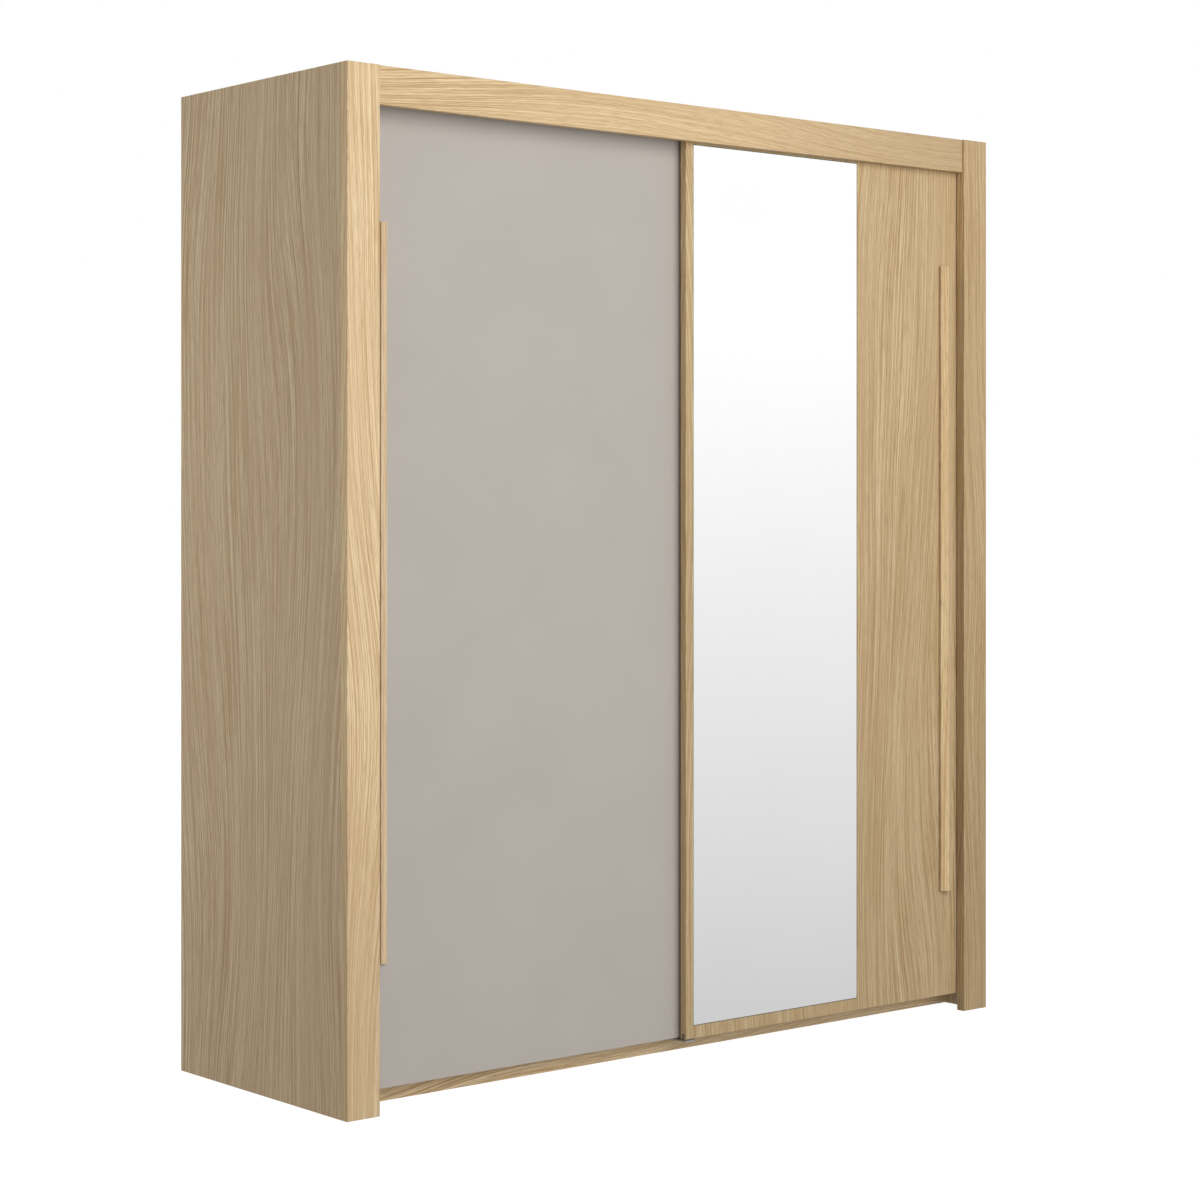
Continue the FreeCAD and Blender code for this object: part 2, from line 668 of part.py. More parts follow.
def guide_channel(side, y_channel):
    """The plastic U-channel in a door's bottom edge."""
    x = door_span(side)
    half = CHANNEL_WIDTH / 2
    top = DOOR_BOTTOM + CHANNEL_DEPTH
    inside = (y_channel - half + CHANNEL_WALL, y_channel + half - CHANNEL_WALL)
    channel = board(x, (y_channel - half, y_channel + half), (DOOR_BOTTOM, top))
    return channel.cut(board(x, inside, (DOOR_BOTTOM, top - CHANNEL_WALL)))


def hanger_places(side):
    """The middles of a door's two hangers."""
    x = door_span(side)
    return (x[0] + HANGER_INSET, x[1] - HANGER_INSET)


def hanger(x, y_channel):
    """A bent plate: down the door's back, over its top edge, and up through the slot to the axle."""
    t = HANGER_THICK
    y_back_face = y_channel + DOOR_THICK / 2
    z_bend = z_door_top + HANGER_LIFT
    outline = [
        (y_back_face, z_door_top - HANGER_DROP),
        (y_back_face + t, z_door_top - HANGER_DROP),
        (y_back_face + t, z_bend + t),
        (y_channel + t / 2, z_bend + t),
        (y_channel + t / 2, z_axle + HANGER_CREST),
        (y_channel - t / 2, z_axle + HANGER_CREST),
        (y_channel - t / 2, z_bend),
        (y_back_face, z_bend),
    ]
    return extruded(outline, (x - HANGER_WIDTH / 2, x + HANGER_WIDTH / 2))


def hanger_screws(side, y_channel):
    """Four screws from each hanger into the door's back."""
    y = y_channel + DOOR_THICK / 2 + HANGER_THICK
    screws = []
    for x in hanger_places(side):
        for dx in (-HANGER_WIDTH / 3, HANGER_WIDTH / 3):
            for drop in (HANGER_DROP * 0.3, HANGER_DROP * 0.75):
                seat = Vector(x + dx, y, z_door_top - drop)
                screws.append(pan_screw(seat, Vector(0, -1, 0), SCREW_BITE))
    return screws


def axle(x, y_channel):
    """A headed pin through the hanger that carries two wheels."""
    reach = WHEEL_INNER + WHEEL_WIDTH + AXLE_PLAY
    near, far = Vector(x, y_channel - reach, z_axle), Vector(x, y_channel + reach, z_axle)
    head = Vector(0, AXLE_HEAD, 0)
    heads = [rod(AXLE_HEAD_RADIUS, near - head, near), rod(AXLE_HEAD_RADIUS, far, far + head)]
    return rod(AXLE_RADIUS, near, far).fuse(heads).removeSplitter()


def wheel_pair(x, y_channel):
    """The two wheels on one axle, either side of the hanger."""
    wheels = []
    for low in (-WHEEL_INNER - WHEEL_WIDTH, WHEEL_INNER):
        start = Vector(x, y_channel + low, z_axle)
        end = start + Vector(0, WHEEL_WIDTH, 0)
        bore = rod(AXLE_RADIUS + AXLE_FIT, start, end)
        wheels.append(rod(WHEEL_RADIUS, start, end).cut(bore))
    return wheels


def handle_screws(x, y_channel, bite):
    """Screws through the door from its back into the handle."""
    seat_y = y_channel + DOOR_THICK / 2
    middle = z_handle + HANDLE_LENGTH / 2
    places = [middle + HANDLE_SCREW_STEP * step for step in (-1.5, -0.5, 0.5, 1.5)]
    return [flat_screw(Vector(x, seat_y, z), Vector(0, -1, 0), DOOR_THICK + bite) for z in places]


x_front_handle = x_post - FRONT_HANDLE_GAP - FRONT_HANDLE_WIDTH


def front_handle():
    """Long oak bar. Its left side is chamfered towards the middle of the wardrobe."""
    y_door = y_front_channel - DOOR_THICK / 2
    x_right = x_front_handle + FRONT_HANDLE_WIDTH
    points = [
        (x_front_handle, y_door),
        (x_front_handle, y_door - FRONT_HANDLE_SIDE),
        (x_right - FRONT_HANDLE_FACE, y_door - FRONT_HANDLE_DEPTH),
        (x_right, y_door - FRONT_HANDLE_DEPTH),
        (x_right, y_door),
    ]
    corners = [Vector(x, y, z_handle) for x, y in points]
    bar = Part.Face(Part.makePolygon(corners + corners[:1])).extrude(Vector(0, 0, HANDLE_LENGTH))
    proud = [edge for edge in bar.Edges if edge.BoundBox.YMax < y_door - 0.1]
    return bar.makeFillet(HANDLE_ROUND, proud)


def rear_handle():
    """Long flat oak bar, thin enough to pass behind the front door."""
    y_door = y_rear_channel - DOOR_THICK / 2
    size = (REAR_HANDLE_WIDTH, REAR_HANDLE_DEPTH, HANDLE_LENGTH)
    bar = Part.makeBox(*size, Vector(x_rear_handle, y_door - REAR_HANDLE_DEPTH, z_handle))
    proud = [edge for edge in bar.Edges if edge.BoundBox.YMax < y_door - 0.1]
    return bar.makeFillet(HANDLE_ROUND, proud)


# ---------------------------------------------------------------- mirror
mirror_x = (-x_door_inner + MIRROR_SIDE_MARGIN, -x_door_inner + MIRROR_SIDE_MARGIN + MIRROR_WIDTH)
mirror_z = (DOOR_BOTTOM + MIRROR_END_MARGIN, z_door_top - MIRROR_END_MARGIN)
y_mirror = y_front_channel - DOOR_THICK / 2 + MIRROR_SINK


def mirror_recess():
    """The pocket in the front door's face."""
    x = (mirror_x[0] - MIRROR_FIT, mirror_x[1] + MIRROR_FIT)
    z = (mirror_z[0] - MIRROR_FIT, mirror_z[1] + MIRROR_FIT)
    return board(x, (y_mirror - MIRROR_SINK - 1, y_mirror + MIRROR_THICK + PAD_THICK), z)


def mirror():
    return board(mirror_x, (y_mirror, y_mirror + MIRROR_THICK), mirror_z)


def mirror_pads():
    """Strips of adhesive foam between the mirror and the bottom of its recess."""
    y = (y_mirror + MIRROR_THICK, y_mirror + MIRROR_THICK + PAD_THICK)
    x = (mirror_x[0] + PAD_SIDE_INSET, mirror_x[1] - PAD_SIDE_INSET)
    heights = spread(mirror_z[0] + PAD_HEIGHT, mirror_z[1] - 2 * PAD_HEIGHT, PAD_COUNT)
    return [board(x, y, (z, z + PAD_HEIGHT)) for z in heights]


# ---------------------------------------------------------------- build
def build_carcass():
    cams, bolts, bores = cam_fittings()
    pegs = dowels()
    nails = back_nails()
    holes = pin_holes()
    socket_screws = rail_screws()
    track_set = track_screws()
    guide_set = guide_screws()
    bracket_set = wall_bracket_screws()

    write("side_panel_left", drilled(side_panel(LEFT), bolts, pegs, socket_screws))
    write("side_panel_right", drilled(side_panel(RIGHT), bolts, pegs, holes))
    write("post_left", drilled(post(LEFT), pegs))
    write("post_right", drilled(post(RIGHT), pegs))
    write("fascia", drilled(fascia(), pegs))
    write("top_panel", drilled(top_panel(), bores, pegs, nails, track_set, bracket_set))
    write("bottom_panel", drilled(bottom_panel(), bores, pegs, nails, guide_set))
    write("partition", drilled(partition(), bolts, pegs, nails, holes, socket_screws))
    write("plinth_front", drilled(plinth(y_plinth), pegs))
    write("plinth_back", drilled(plinth(y_rear - PLINTH_BACK_INSET - SHELF_THICK), pegs))
    write("plinth_braces", *plinth_braces())
    write("back_panel_left", drilled(back_panel(LEFT), nails))
    write("back_panel_right", drilled(back_panel(RIGHT), nails))
    write("back_seam_strip", drilled(back_seam_strip(), nails))
    write("hat_shelf_left", drilled(hat_shelf(LEFT), bores))
    write("hat_shelf_right", drilled(hat_shelf(RIGHT), bores))
    for number, z in enumerate(shelf_heights(), start=1):
        write(f"adjustable_shelf_{number}", adjustable_shelf(z))
    write("shelf_pins", *shelf_pins())
    write("cam_locks", *cams)
    write("cam_bolts", *bolts)
    write("wood_dowels", *pegs)
    write("back_panel_nails", *nails)
    write("hanging_rail", hanging_rail())
    write("rail_sockets", *[drilled(socket, socket_screws) for socket in rail_sockets()])
    write("rail_socket_screws", *socket_screws)
    write("door_track", drilled(door_track(), track_set))
    write("track_screws", *track_set)
    write("track_stops", *track_stops())
    write("guide_bracket", drilled(guide_bracket(), guide_set))
    write("guide_block", drilled(guide_block(), guide_set))
    write("guide_screws", *guide_set)
    write("wall_brackets", *[drilled(wall_bracket(side), bracket_set) for side in (LEFT, RIGHT)])
    write("wall_bracket_screws", *bracket_set)


def build_door(name, side, y_channel, panel, handle, bar_screws):
    """Everything that hangs from one door's pair of hangers."""
    places = hanger_places(side)
    axles = [axle(x, y_channel) for x in places]
    plate_screws = hanger_screws(side, y_channel)
    plates = [drilled(hanger(x, y_channel), axles, plate_screws) for x in places]
    write(f"{name}_door_panel", drilled(panel, plate_screws, bar_screws))
    write(f"{name}_door_handle", drilled(handle, bar_screws))
    write(f"{name}_handle_screws", *bar_screws)
    write(f"{name}_door_hangers", *plates)
    write(f"{name}_hanger_screws", *plate_screws)
    write(f"{name}_hanger_axles", *axles)
    write(f"{name}_guide_channel", guide_channel(side, y_channel))
    for end, x in zip(("left", "right"), places):
        write(f"{name}_door_{end}_wheels", *wheel_pair(x, y_channel))


def build_doors():
    x_rear_screws = x_rear_handle + REAR_HANDLE_WIDTH / 2
    rear_screws = handle_screws(x_rear_screws, y_rear_channel, REAR_HANDLE_BITE)
    rear_panel = door_board(LEFT, y_rear_channel)
    build_door("rear", LEFT, y_rear_channel, rear_panel, rear_handle(), rear_screws)

    x_front_screws = x_front_handle + FRONT_HANDLE_WIDTH - FRONT_HANDLE_FACE / 2
    front_screws = handle_screws(x_front_screws, y_front_channel, FRONT_HANDLE_BITE)
    front_panel = door_board(RIGHT, y_front_channel).cut(mirror_recess())
    build_door("front", RIGHT, y_front_channel, front_panel, front_handle(), front_screws)
    write("mirror", mirror())
    write("mirror_pads", *mirror_pads())


os.makedirs("parts", exist_ok=True)
build_carcass()
build_doors()
print("door travel", door_travel, "wheel axle height", z_axle, "door top", z_door_top)
print("rear hangers", hanger_places(LEFT), y_rear_channel, "front hangers", hanger_places(RIGHT), y_front_channel)
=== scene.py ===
import json
import math

import bmesh
import bpy
from bpy.props import FloatProperty, FloatVectorProperty, IntProperty, PointerProperty
from bpy.types import NodeSocket, Operator, Panel, PropertyGroup, Scene
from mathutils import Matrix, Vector


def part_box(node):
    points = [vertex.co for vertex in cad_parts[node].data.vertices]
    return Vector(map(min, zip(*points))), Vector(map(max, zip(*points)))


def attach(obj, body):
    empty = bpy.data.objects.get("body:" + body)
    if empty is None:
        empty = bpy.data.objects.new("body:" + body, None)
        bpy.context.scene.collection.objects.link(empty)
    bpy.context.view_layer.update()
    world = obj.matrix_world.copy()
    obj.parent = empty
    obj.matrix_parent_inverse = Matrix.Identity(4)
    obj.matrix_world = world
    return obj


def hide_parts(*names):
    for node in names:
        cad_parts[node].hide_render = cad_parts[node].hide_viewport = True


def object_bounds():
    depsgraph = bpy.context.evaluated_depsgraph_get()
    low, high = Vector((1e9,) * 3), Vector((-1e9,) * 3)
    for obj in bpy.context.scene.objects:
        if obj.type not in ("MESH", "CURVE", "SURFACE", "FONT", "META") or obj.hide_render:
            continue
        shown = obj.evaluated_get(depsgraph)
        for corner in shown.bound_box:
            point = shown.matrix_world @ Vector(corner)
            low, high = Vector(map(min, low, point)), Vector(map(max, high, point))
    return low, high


bl_info = {
    "name": "Sliding door wardrobe",
    "version": (1, 0, 0),
    "blender": (4, 5, 0),
    "location": "View3D > Sidebar > Wardrobe",
    "description": "Finishes and hardware of a two-door sliding wardrobe",
    "category": "Object",
}

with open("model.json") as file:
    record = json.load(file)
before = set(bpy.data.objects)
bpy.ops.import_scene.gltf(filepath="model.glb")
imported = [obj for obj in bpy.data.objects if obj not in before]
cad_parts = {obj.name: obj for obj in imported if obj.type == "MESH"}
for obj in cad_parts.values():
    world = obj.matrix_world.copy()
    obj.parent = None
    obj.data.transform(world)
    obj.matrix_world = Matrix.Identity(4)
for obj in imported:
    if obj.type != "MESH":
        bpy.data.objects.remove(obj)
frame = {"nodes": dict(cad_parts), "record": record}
cad_low, cad_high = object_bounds()
nodes = frame["nodes"]
body_of_node = {
    node: body for body, members in frame["record"]["behaviour"]["bodies"].items() for node in members
}
MM = 0.001
NOISE_REACH = (0.3, 0.7)            # where nearly all values of a noise lie
BEND_CELLS = (2.2, 0.62)            # slow bends of the grain to the metre, across and along
LINE_SKEW = 0.37                    # how far the noise behind the grain's lines is skewed
# Layers of drawn-out lines: cells to the metre across and along, a place of their own, detail.
OAK_BANDS = (200.0, 0.8, 3.0, 1.5)
OAK_STREAKS = (560.0, 2.0, 7.0, 2.0)
OAK_FIBRES = (1500.0, 8.0, 5.0, 1.5)
OAK_PORES = (1000.0, 26.0, 17.0, 0.0)
PRINT_BANDS = (150.0, 0.7, 2.0, 1.5)
PRINT_STREAKS = (420.0, 2.0, 6.0, 2.0)
PRINT_BEND = 0.25                   # sway of the printed grain, in metres
RING_RATE = 560.0                   # growth rings, in radians to the metre
RING_SHARPNESS = 3.0                # how narrow the late wood of each ring is
RING_MEAN = 0.31                    # mean of the late wood, which leaves the board's tone as it is
# Tones of oak, as shares of its red, green and blue.
OAK_DARK = (0.73, 0.62, 0.50)
OAK_PALE = (1.27, 1.38, 1.50)
OAK_BLUSH = (1.01, 0.99, 1.0)
OAK_PORE = (0.5, 0.42, 0.34)


def display_colour(red, green, blue):
    """A colour picked on screen, 0 to 255 a channel, as the linear values that shaders take."""
    def linear(channel):
        share = channel / 255
        return share / 12.92 if share <= 0.04045 else ((share + 0.055) / 1.055) ** 2.4
    return (linear(red), linear(green), linear(blue))


def swatch(label, about, red, green, blue):
    """A colour that the sidebar shows as a swatch."""
    return FloatVectorProperty(
        name=label, description=about, subtype="COLOR", size=3, min=0, max=1,
        default=display_colour(red, green, blue),
    )


def size_property(label, about, millimetres):
    """A length in metres, with its default in millimetres."""
    return FloatProperty(
        name=label, description=about, default=millimetres * MM, min=0, soft_max=3,
        subtype="DISTANCE", unit="LENGTH", precision=4,
    )


# ---------------- what a user may change
class WardrobeFinishes(PropertyGroup):
    """Colours of the boards, doors and hardware."""

    oak_frame: swatch("Frame oak", "Left post, fascia and plinth", 223, 194, 152)
    # Painted shade: a darker copy of the frame oak, for the light falling off towards the right.
    oak_right_post_painted_shade: swatch("Right post oak", "The darker board of the right post", 194, 167, 126)
    oak_side: swatch("Side oak", "Side panels", 212, 186, 149)
    oak_door: swatch("Door oak", "Right door and its handle", 199, 172, 131)
    oak_rear_handle: swatch("Rear handle oak", "Handle of the left door", 221, 196, 158)
    interior: swatch("Interior board", "Printed board of the inside", 214, 196, 166)
    hardboard: swatch("Hardboard", "Raw back of the back panels", 168, 131, 92)
    beech: swatch("Beech", "Dowels", 205, 165, 118)
    taupe: swatch("Taupe lacquer", "Left door", 189, 182, 174)
    silvering: swatch("Silvering", "Mirror's reflecting coat", 250, 250, 250)
    glass_edge: swatch("Glass edge", "Mirror's polished edge", 150, 178, 168)
    aluminium: swatch("Aluminium", "Anodised track", 196, 198, 201)
    zinc: swatch("Zinc", "Plated steel plates and screws", 188, 190, 194)
    chrome: swatch("Chrome", "Hanging rail and its sockets", 226, 228, 231)
    bearing: swatch("Bearing steel", "Rings of the wheel bearings", 168, 170, 173)
    nylon: swatch("Guide nylon", "Bottom guide and door channels", 138, 124, 104)
    wheel: swatch("Wheel nylon", "Treads of the wheels", 226, 225, 219)
    strip: swatch("Seam strip", "Strip over the seam of the back panels", 232, 231, 226)
    rubber: swatch("Rubber", "Stops in the track", 46, 46, 48)
    foam: swatch("Foam tape", "Pads behind the mirror", 214, 212, 205)


class WardrobeHardware(PropertyGroup):
    """Sizes of the small hardware and of the eased edges."""

    screw_radius: size_property("Screw radius", "Shank of every wood screw", 2.0)
    flat_head_radius: size_property("Flat head radius", "Countersunk screw head", 4.0)
    flat_head_height: size_property("Flat head height", "Depth of a countersunk head", 2.0)
    pan_head_radius: size_property("Pan head radius", "Pan head at its widest", 3.8)
    pan_head_height: size_property("Pan head height", "Pan head above its seat", 1.6)
    slot_width: size_property("Slot width", "One arm of the cross recess", 0.9)
    slot_depth: size_property("Slot depth", "Depth of the cross recess", 1.1)
    nail_head_radius: size_property("Nail head radius", "Head of a back panel nail", 1.8)
    nail_head_height: size_property("Nail head height", "Nail head above the panel", 0.8)
    nail_radius: size_property("Nail radius", "Shank of a back panel nail", 0.8)
    pin_reach: size_property("Shelf pin reach", "Pin's length under the shelf", 8.0)
    pin_collar: size_property("Shelf pin collar", "Radius of the pin's collar", 4.2)
    pin_collar_thick: size_property("Collar thickness", "Thickness of the pin's collar", 0.8)
    wheel_groove: size_property("Wheel side recess", "How far a bearing lies inside the tread", 0.5)
    bearing_radius: size_property("Bearing radius", "Outer ring of a wheel's bearing", 5.6)
    mirror_arris: size_property("Mirror arris", "Polished edge of the mirror", 1.4)
    plate_ease: size_property("Plate edge", "Rounding of the steel plates", 0.35)
    rubber_ease: size_property("Rubber edge", "Rounding of the stops", 1.5)
    seed: IntProperty(name="Seed", description="How the screw slots happen to be turned", default=7, min=0)


def place_property(label, about, place):
    """A point in the wardrobe's frame, in metres."""
    return FloatVectorProperty(
        name=label, description=about, default=place, size=3, subtype="TRANSLATION", unit="LENGTH"
    )


def reach_property(label, about, metres):
    """The side of something large."""
    return FloatProperty(name=label, description=about, default=metres, min=0.1, unit="LENGTH")


def power_property(label, about, watts):
    return FloatProperty(name=label, description=about, default=watts, min=0, unit="POWER")


def light_property(label, about, share):
    """A brightness, where 1 is white paper in full light."""
    return FloatProperty(name=label, description=about, default=share, min=0, max=2, subtype="FACTOR")


class WardrobeStage(PropertyGroup):
    """The camera, the floor and the studio light."""

    key_power: power_property("Key power", "Large soft lamp in front", 196)
    key_place: place_property("Key place", "Middle of the key lamp", (-0.15, -4.65, 2.6))
    key_size: reach_property("Key size", "Side of the key lamp", 5.3)
    fill_power: power_property("Fill power", "Weaker lamp beside the left panel", 17.5)
    fill_place: place_property("Fill place", "Middle of the fill lamp", (-3.2, 1.4, 1.5))
    fill_size: reach_property("Fill size", "Side of the fill lamp", 1.5)
    back_power: power_property("Back power", "Lamp behind and to the right", 110)
    back_place: place_property("Back place", "Middle of the back lamp", (3.3, 3.0, 3.0))
    back_size: reach_property("Back size", "Side of the back lamp", 2.0)
    ambient: light_property("Ambient", "Even light from all round", 0.30)
    mirror_low: light_property("Mirror low", "Brightness that the mirror shows towards the floor", 0.463)
    mirror_high: light_property("Mirror high", "Brightness that the mirror shows above eye level", 1.06)
    floor_size: reach_property("Floor size", "Side of the floor", 80)
    floor_glow: light_property("Floor glow", "Light that the paper floor gives back by itself", 0.95)
    camera_place: place_property("Camera place", "Where the camera stands", (-4.2055, -4.9913, 1.3072))
    camera_heading: FloatProperty(
        name="Camera heading", description="The level camera's turn about the vertical",
        default=math.radians(-39.96), subtype="ANGLE", unit="ROTATION",
    )
    focal_length: FloatProperty(
        name="Focal length", description="Lens in millimetres on a 36 mm sensor", default=80.05, min=1
    )
    camera_drop: FloatProperty(
        name="Lens shift", description="Vertical shift as a share of the picture", default=-0.0812
    )


# ---------------- node trees
class Graph:
    """Adds nodes to a tree, and links or fills their inputs as it goes."""

    def __init__(self, tree):
        self.tree = tree

    def join(self, value, socket):
        if isinstance(value, NodeSocket):
            self.tree.links.new(value, socket)
        else:
            socket.default_value = value

    def add(self, kind, inputs=None, **settings):
        node = self.tree.nodes.new(kind)
        for name, value in settings.items():
            setattr(node, name, value)
        for key, value in (inputs or {}).items():
            self.join(value, node.inputs[key])
        return node

    def math(self, operation, first, second=0.0):
        return self.add("ShaderNodeMath", {0: first, 1: second}, operation=operation).outputs[0]

    def plus(self, first, second):
        return self.math("ADD", first, second)

    def minus(self, first, second):
        return self.math("SUBTRACT", first, second)

    def times(self, first, second):
        return self.math("MULTIPLY", first, second)

    def weighed(self, *parts):
        """The sum of values, each times its own weight."""
        total, *others = [self.times(value, weight) for value, weight in parts]
        for share in others:
            total = self.plus(total, share)
        return total

    def blend(self, factor, first, second):
        """A colour between first and second."""
        first, second = (c if isinstance(c, NodeSocket) else (*c, 1) for c in (first, second))
        return self.add("ShaderNodeMix", {0: factor, 6: first, 7: second}, data_type="RGBA").outputs[2]

    def scaled(self, factor, colour, share):
        """The colour, or share times the colour where factor is 1."""
        inputs = {0: factor, 6: colour, 7: (share, share, share, 1)}
        return self.add("ShaderNodeMix", inputs, data_type="RGBA", blend_type="MULTIPLY").outputs[2]

    def dimmed(self, colour, share):
        """The colour with that share of its light, where the share varies from place to place."""
        return self.add("ShaderNodeVectorMath", {0: colour, "Scale": share}, operation="SCALE").outputs[0]

    def remap(self, value, low, high, new_low, new_high):
        inputs = {"Value": value, "From Min": low, "From Max": high, "To Min": new_low, "To Max": new_high}
        return self.add("ShaderNodeMapRange", inputs).outputs[0]


class Finish:
    """A material whose patterns read the piece's own place in the wardrobe."""

    def __init__(self, name, **sockets):
        self.material = bpy.data.materials.new(name)
        self.material.use_nodes = True
        self.graph = Graph(self.material.node_tree)
        self.shader = self.material.node_tree.nodes["Principled BSDF"]
        for socket, value in sockets.items():
            self.shader.inputs[socket.replace("_", " ")].default_value = value
        self.place = self.graph.add("ShaderNodeTexCoord").outputs["Object"]

    def noise(self, place, detail):
        inputs = {"Vector": place, "Scale": 1, "Detail": detail}
        return self.graph.add("ShaderNodeTexNoise", inputs).outputs[0]

    def grown(self, grain, across, along, shift=0.0, detail=2.0):
        """Noise drawn out along the grain. across and along are its cells to the metre."""
        inputs = {
            "Vector": self.place, "Location": (shift, shift * 0.7, shift * 1.3),
            "Scale": [along if axis == grain else across for axis in "XYZ"],
        }
        return self.noise(self.graph.add("ShaderNodeMapping", inputs).outputs[0], detail)

    def even(self, cells, shift=0.0, detail=2.0):
        """Noise of the same size every way."""
        return self.grown("", cells, cells, shift, detail)

    def bend_grain(self, grain, shift, bend, lean=1.0):
        """Lay down the slow bends that the lines of drawn() follow.
        lean is how far the pattern also changes with depth."""
        graph = self.graph
        wide, deep = [self.along(axis) for axis in "XYZ" if axis != grain]
        width = graph.plus(wide, graph.times(deep, lean))
        drift = self.grown(grain, *BEND_CELLS, shift, detail=0.8)
        self.bent = graph.plus(graph.times(drift, bend), width)
        self.length = self.along(grain)
        self.shift = shift

    def drawn(self, across, along, turn, detail):
        """Noise whose lines follow the bent grain. It is skewed so that its rows never line up."""
        graph = self.graph
        across = graph.plus(graph.times(self.bent, across), self.shift + turn)
        along = graph.plus(graph.times(self.length, along), graph.times(across, LINE_SKEW))
        place = graph.add("ShaderNodeCombineXYZ", {0: across, 1: along, 2: turn})
        return self.noise(place.outputs[0], detail)

    def along(self, axis):
        """Distance along one axis of the wardrobe."""
        return self.graph.add("ShaderNodeSeparateXYZ", {0: self.place}).outputs[axis]

    def set(self, socket, value):
        self.graph.join(value, self.shader.inputs[socket])

    def tones(self, pattern, dark, pale, reach=NOISE_REACH):
        """A colour that runs from dark to pale as the pattern rises over its reach."""
        return self.graph.blend(self.graph.remap(pattern, *reach, 0, 1), dark, pale)

    def paint(self, pattern, dark, pale, reach=NOISE_REACH):
        self.set("Base Color", self.tones(pattern, dark, pale, reach))

    def polish(self, pattern, low, high, reach=NOISE_REACH):
        """Roughness that runs from low to high as the pattern rises over its reach."""
        self.set("Roughness", self.graph.remap(pattern, *reach, low, high))

    def relief(self, height, depth, strength):
        """Fine surface relief, with its depth in millimetres."""
        inputs = {"Height": height, "Distance": depth * MM, "Strength": strength}
        self.set("Normal", self.graph.add("ShaderNodeBump", inputs).outputs["Normal"])


def darker(colour, share):
    """The colour with that share of its light."""
    return tuple(channel * share for channel in colour)


def toned(colour, tone):
    """The colour with each channel scaled by its own tone."""
    return tuple(channel * share for channel, share in zip(colour, tone))


# ---------------- finishes
def veneer(name, colour, grain, shift, contrast=1.1, bend=0.32, pores=0.4, lean=1.0, sides=None, fade=None):
    """Oiled oak: rings and fibres that bend together, patches of tone and long dark pores.
    sides is (where the painted shade of the left side face ends, where the painted highlight on the left half
    ends) along X, for a moulding lit from the left.
    fade is (axis, start, stop, share at start, share at stop): a painted light falloff that darkens the board
    towards one end."""
    oak = Finish(name, Specular_IOR_Level=0.32)
    graph = oak.graph
    oak.bend_grain(grain, shift, bend, lean)
    wave = graph.math("SINE", graph.times(oak.bent, RING_RATE))
    late_wood = graph.math("POWER", graph.remap(wave, -1, 1, 0, 1), RING_SHARPNESS)
    fading = graph.remap(oak.grown(grain, 12.0, 1.4, shift + 1, detail=1.0), 0.35, 0.65, 0.1, 1.0)
    figure = graph.times(graph.minus(RING_MEAN, late_wood), fading)
    bands, streaks, fibres = (oak.drawn(*layer) for layer in (OAK_BANDS, OAK_STREAKS, OAK_FIBRES))
    patches = oak.grown(grain, 13.0, 1.1, shift + 9, detail=1.5)
    blush = oak.grown(grain, 9.0, 0.8, shift + 13, detail=1.0)
    pore = graph.remap(oak.drawn(*OAK_PORES), 0.58, 0.68, 0, 1)

    layers = [(figure, 0.27)]
    layers += [(graph.minus(noise, 0.5), weight) for noise, weight in (
        (bands, 1.3), (streaks, 3.3), (fibres, 1.9), (patches, 0.3)
    )]
    shade = graph.weighed(*((layer, weight * contrast) for layer, weight in layers))
    body = oak.tones(shade, toned(colour, OAK_DARK), toned(colour, OAK_PALE), (-0.5, 0.5))
    body = graph.blend(graph.remap(blush, 0.4, 0.65, 0, 0.5), body, toned(colour, OAK_BLUSH))
    body = graph.blend(graph.times(pore, pores), body, toned(colour, OAK_PORE))
    # Painted light falloff: the colour is scaled from one end of the board to the other.
    if fade:
        axis, start, stop, at_start, at_stop = fade
        body = graph.dimmed(body, graph.remap(oak.along(axis), start, stop, at_start, at_stop))
    # Painted light: the left side face is darkened to 0.64 as painted shade, and the left half is lightened
    # 1.3 times as painted highlight.
    if sides:
        shade_end, highlight_end = (graph.math("LESS_THAN", oak.along("X"), end) for end in sides)
        body = graph.scaled(shade_end, graph.scaled(highlight_end, body, 1.3), 0.64)
    oak.set("Base Color", body)
    oak.polish(fibres, 0.46, 0.60)
    oak.relief(graph.minus(graph.plus(fibres, streaks), graph.times(pore, 0.8)), 0.12, 0.3)
    return oak.material


def interior_print(name, colour, grain, shift):
    """Printed oak decor of the inside: paler and flatter than veneer, with a fine embossed pore."""
    board = Finish(name, Specular_IOR_Level=0.4)
    board.bend_grain(grain, shift, PRINT_BEND)
    fibres = board.drawn(1100.0, 9.0, 4.0, 1.0)
    shade = board.graph.weighed(
        (board.drawn(*PRINT_BANDS), 0.7), (board.drawn(*PRINT_STREAKS), 0.9), (fibres, 0.4)
    )
    board.paint(shade, toned(colour, (0.80, 0.77, 0.73)), toned(colour, (1.12, 1.13, 1.15)), (0.75, 1.25))
    board.polish(fibres, 0.40, 0.52)
    board.relief(fibres, 0.12, 0.35)
    return board.material


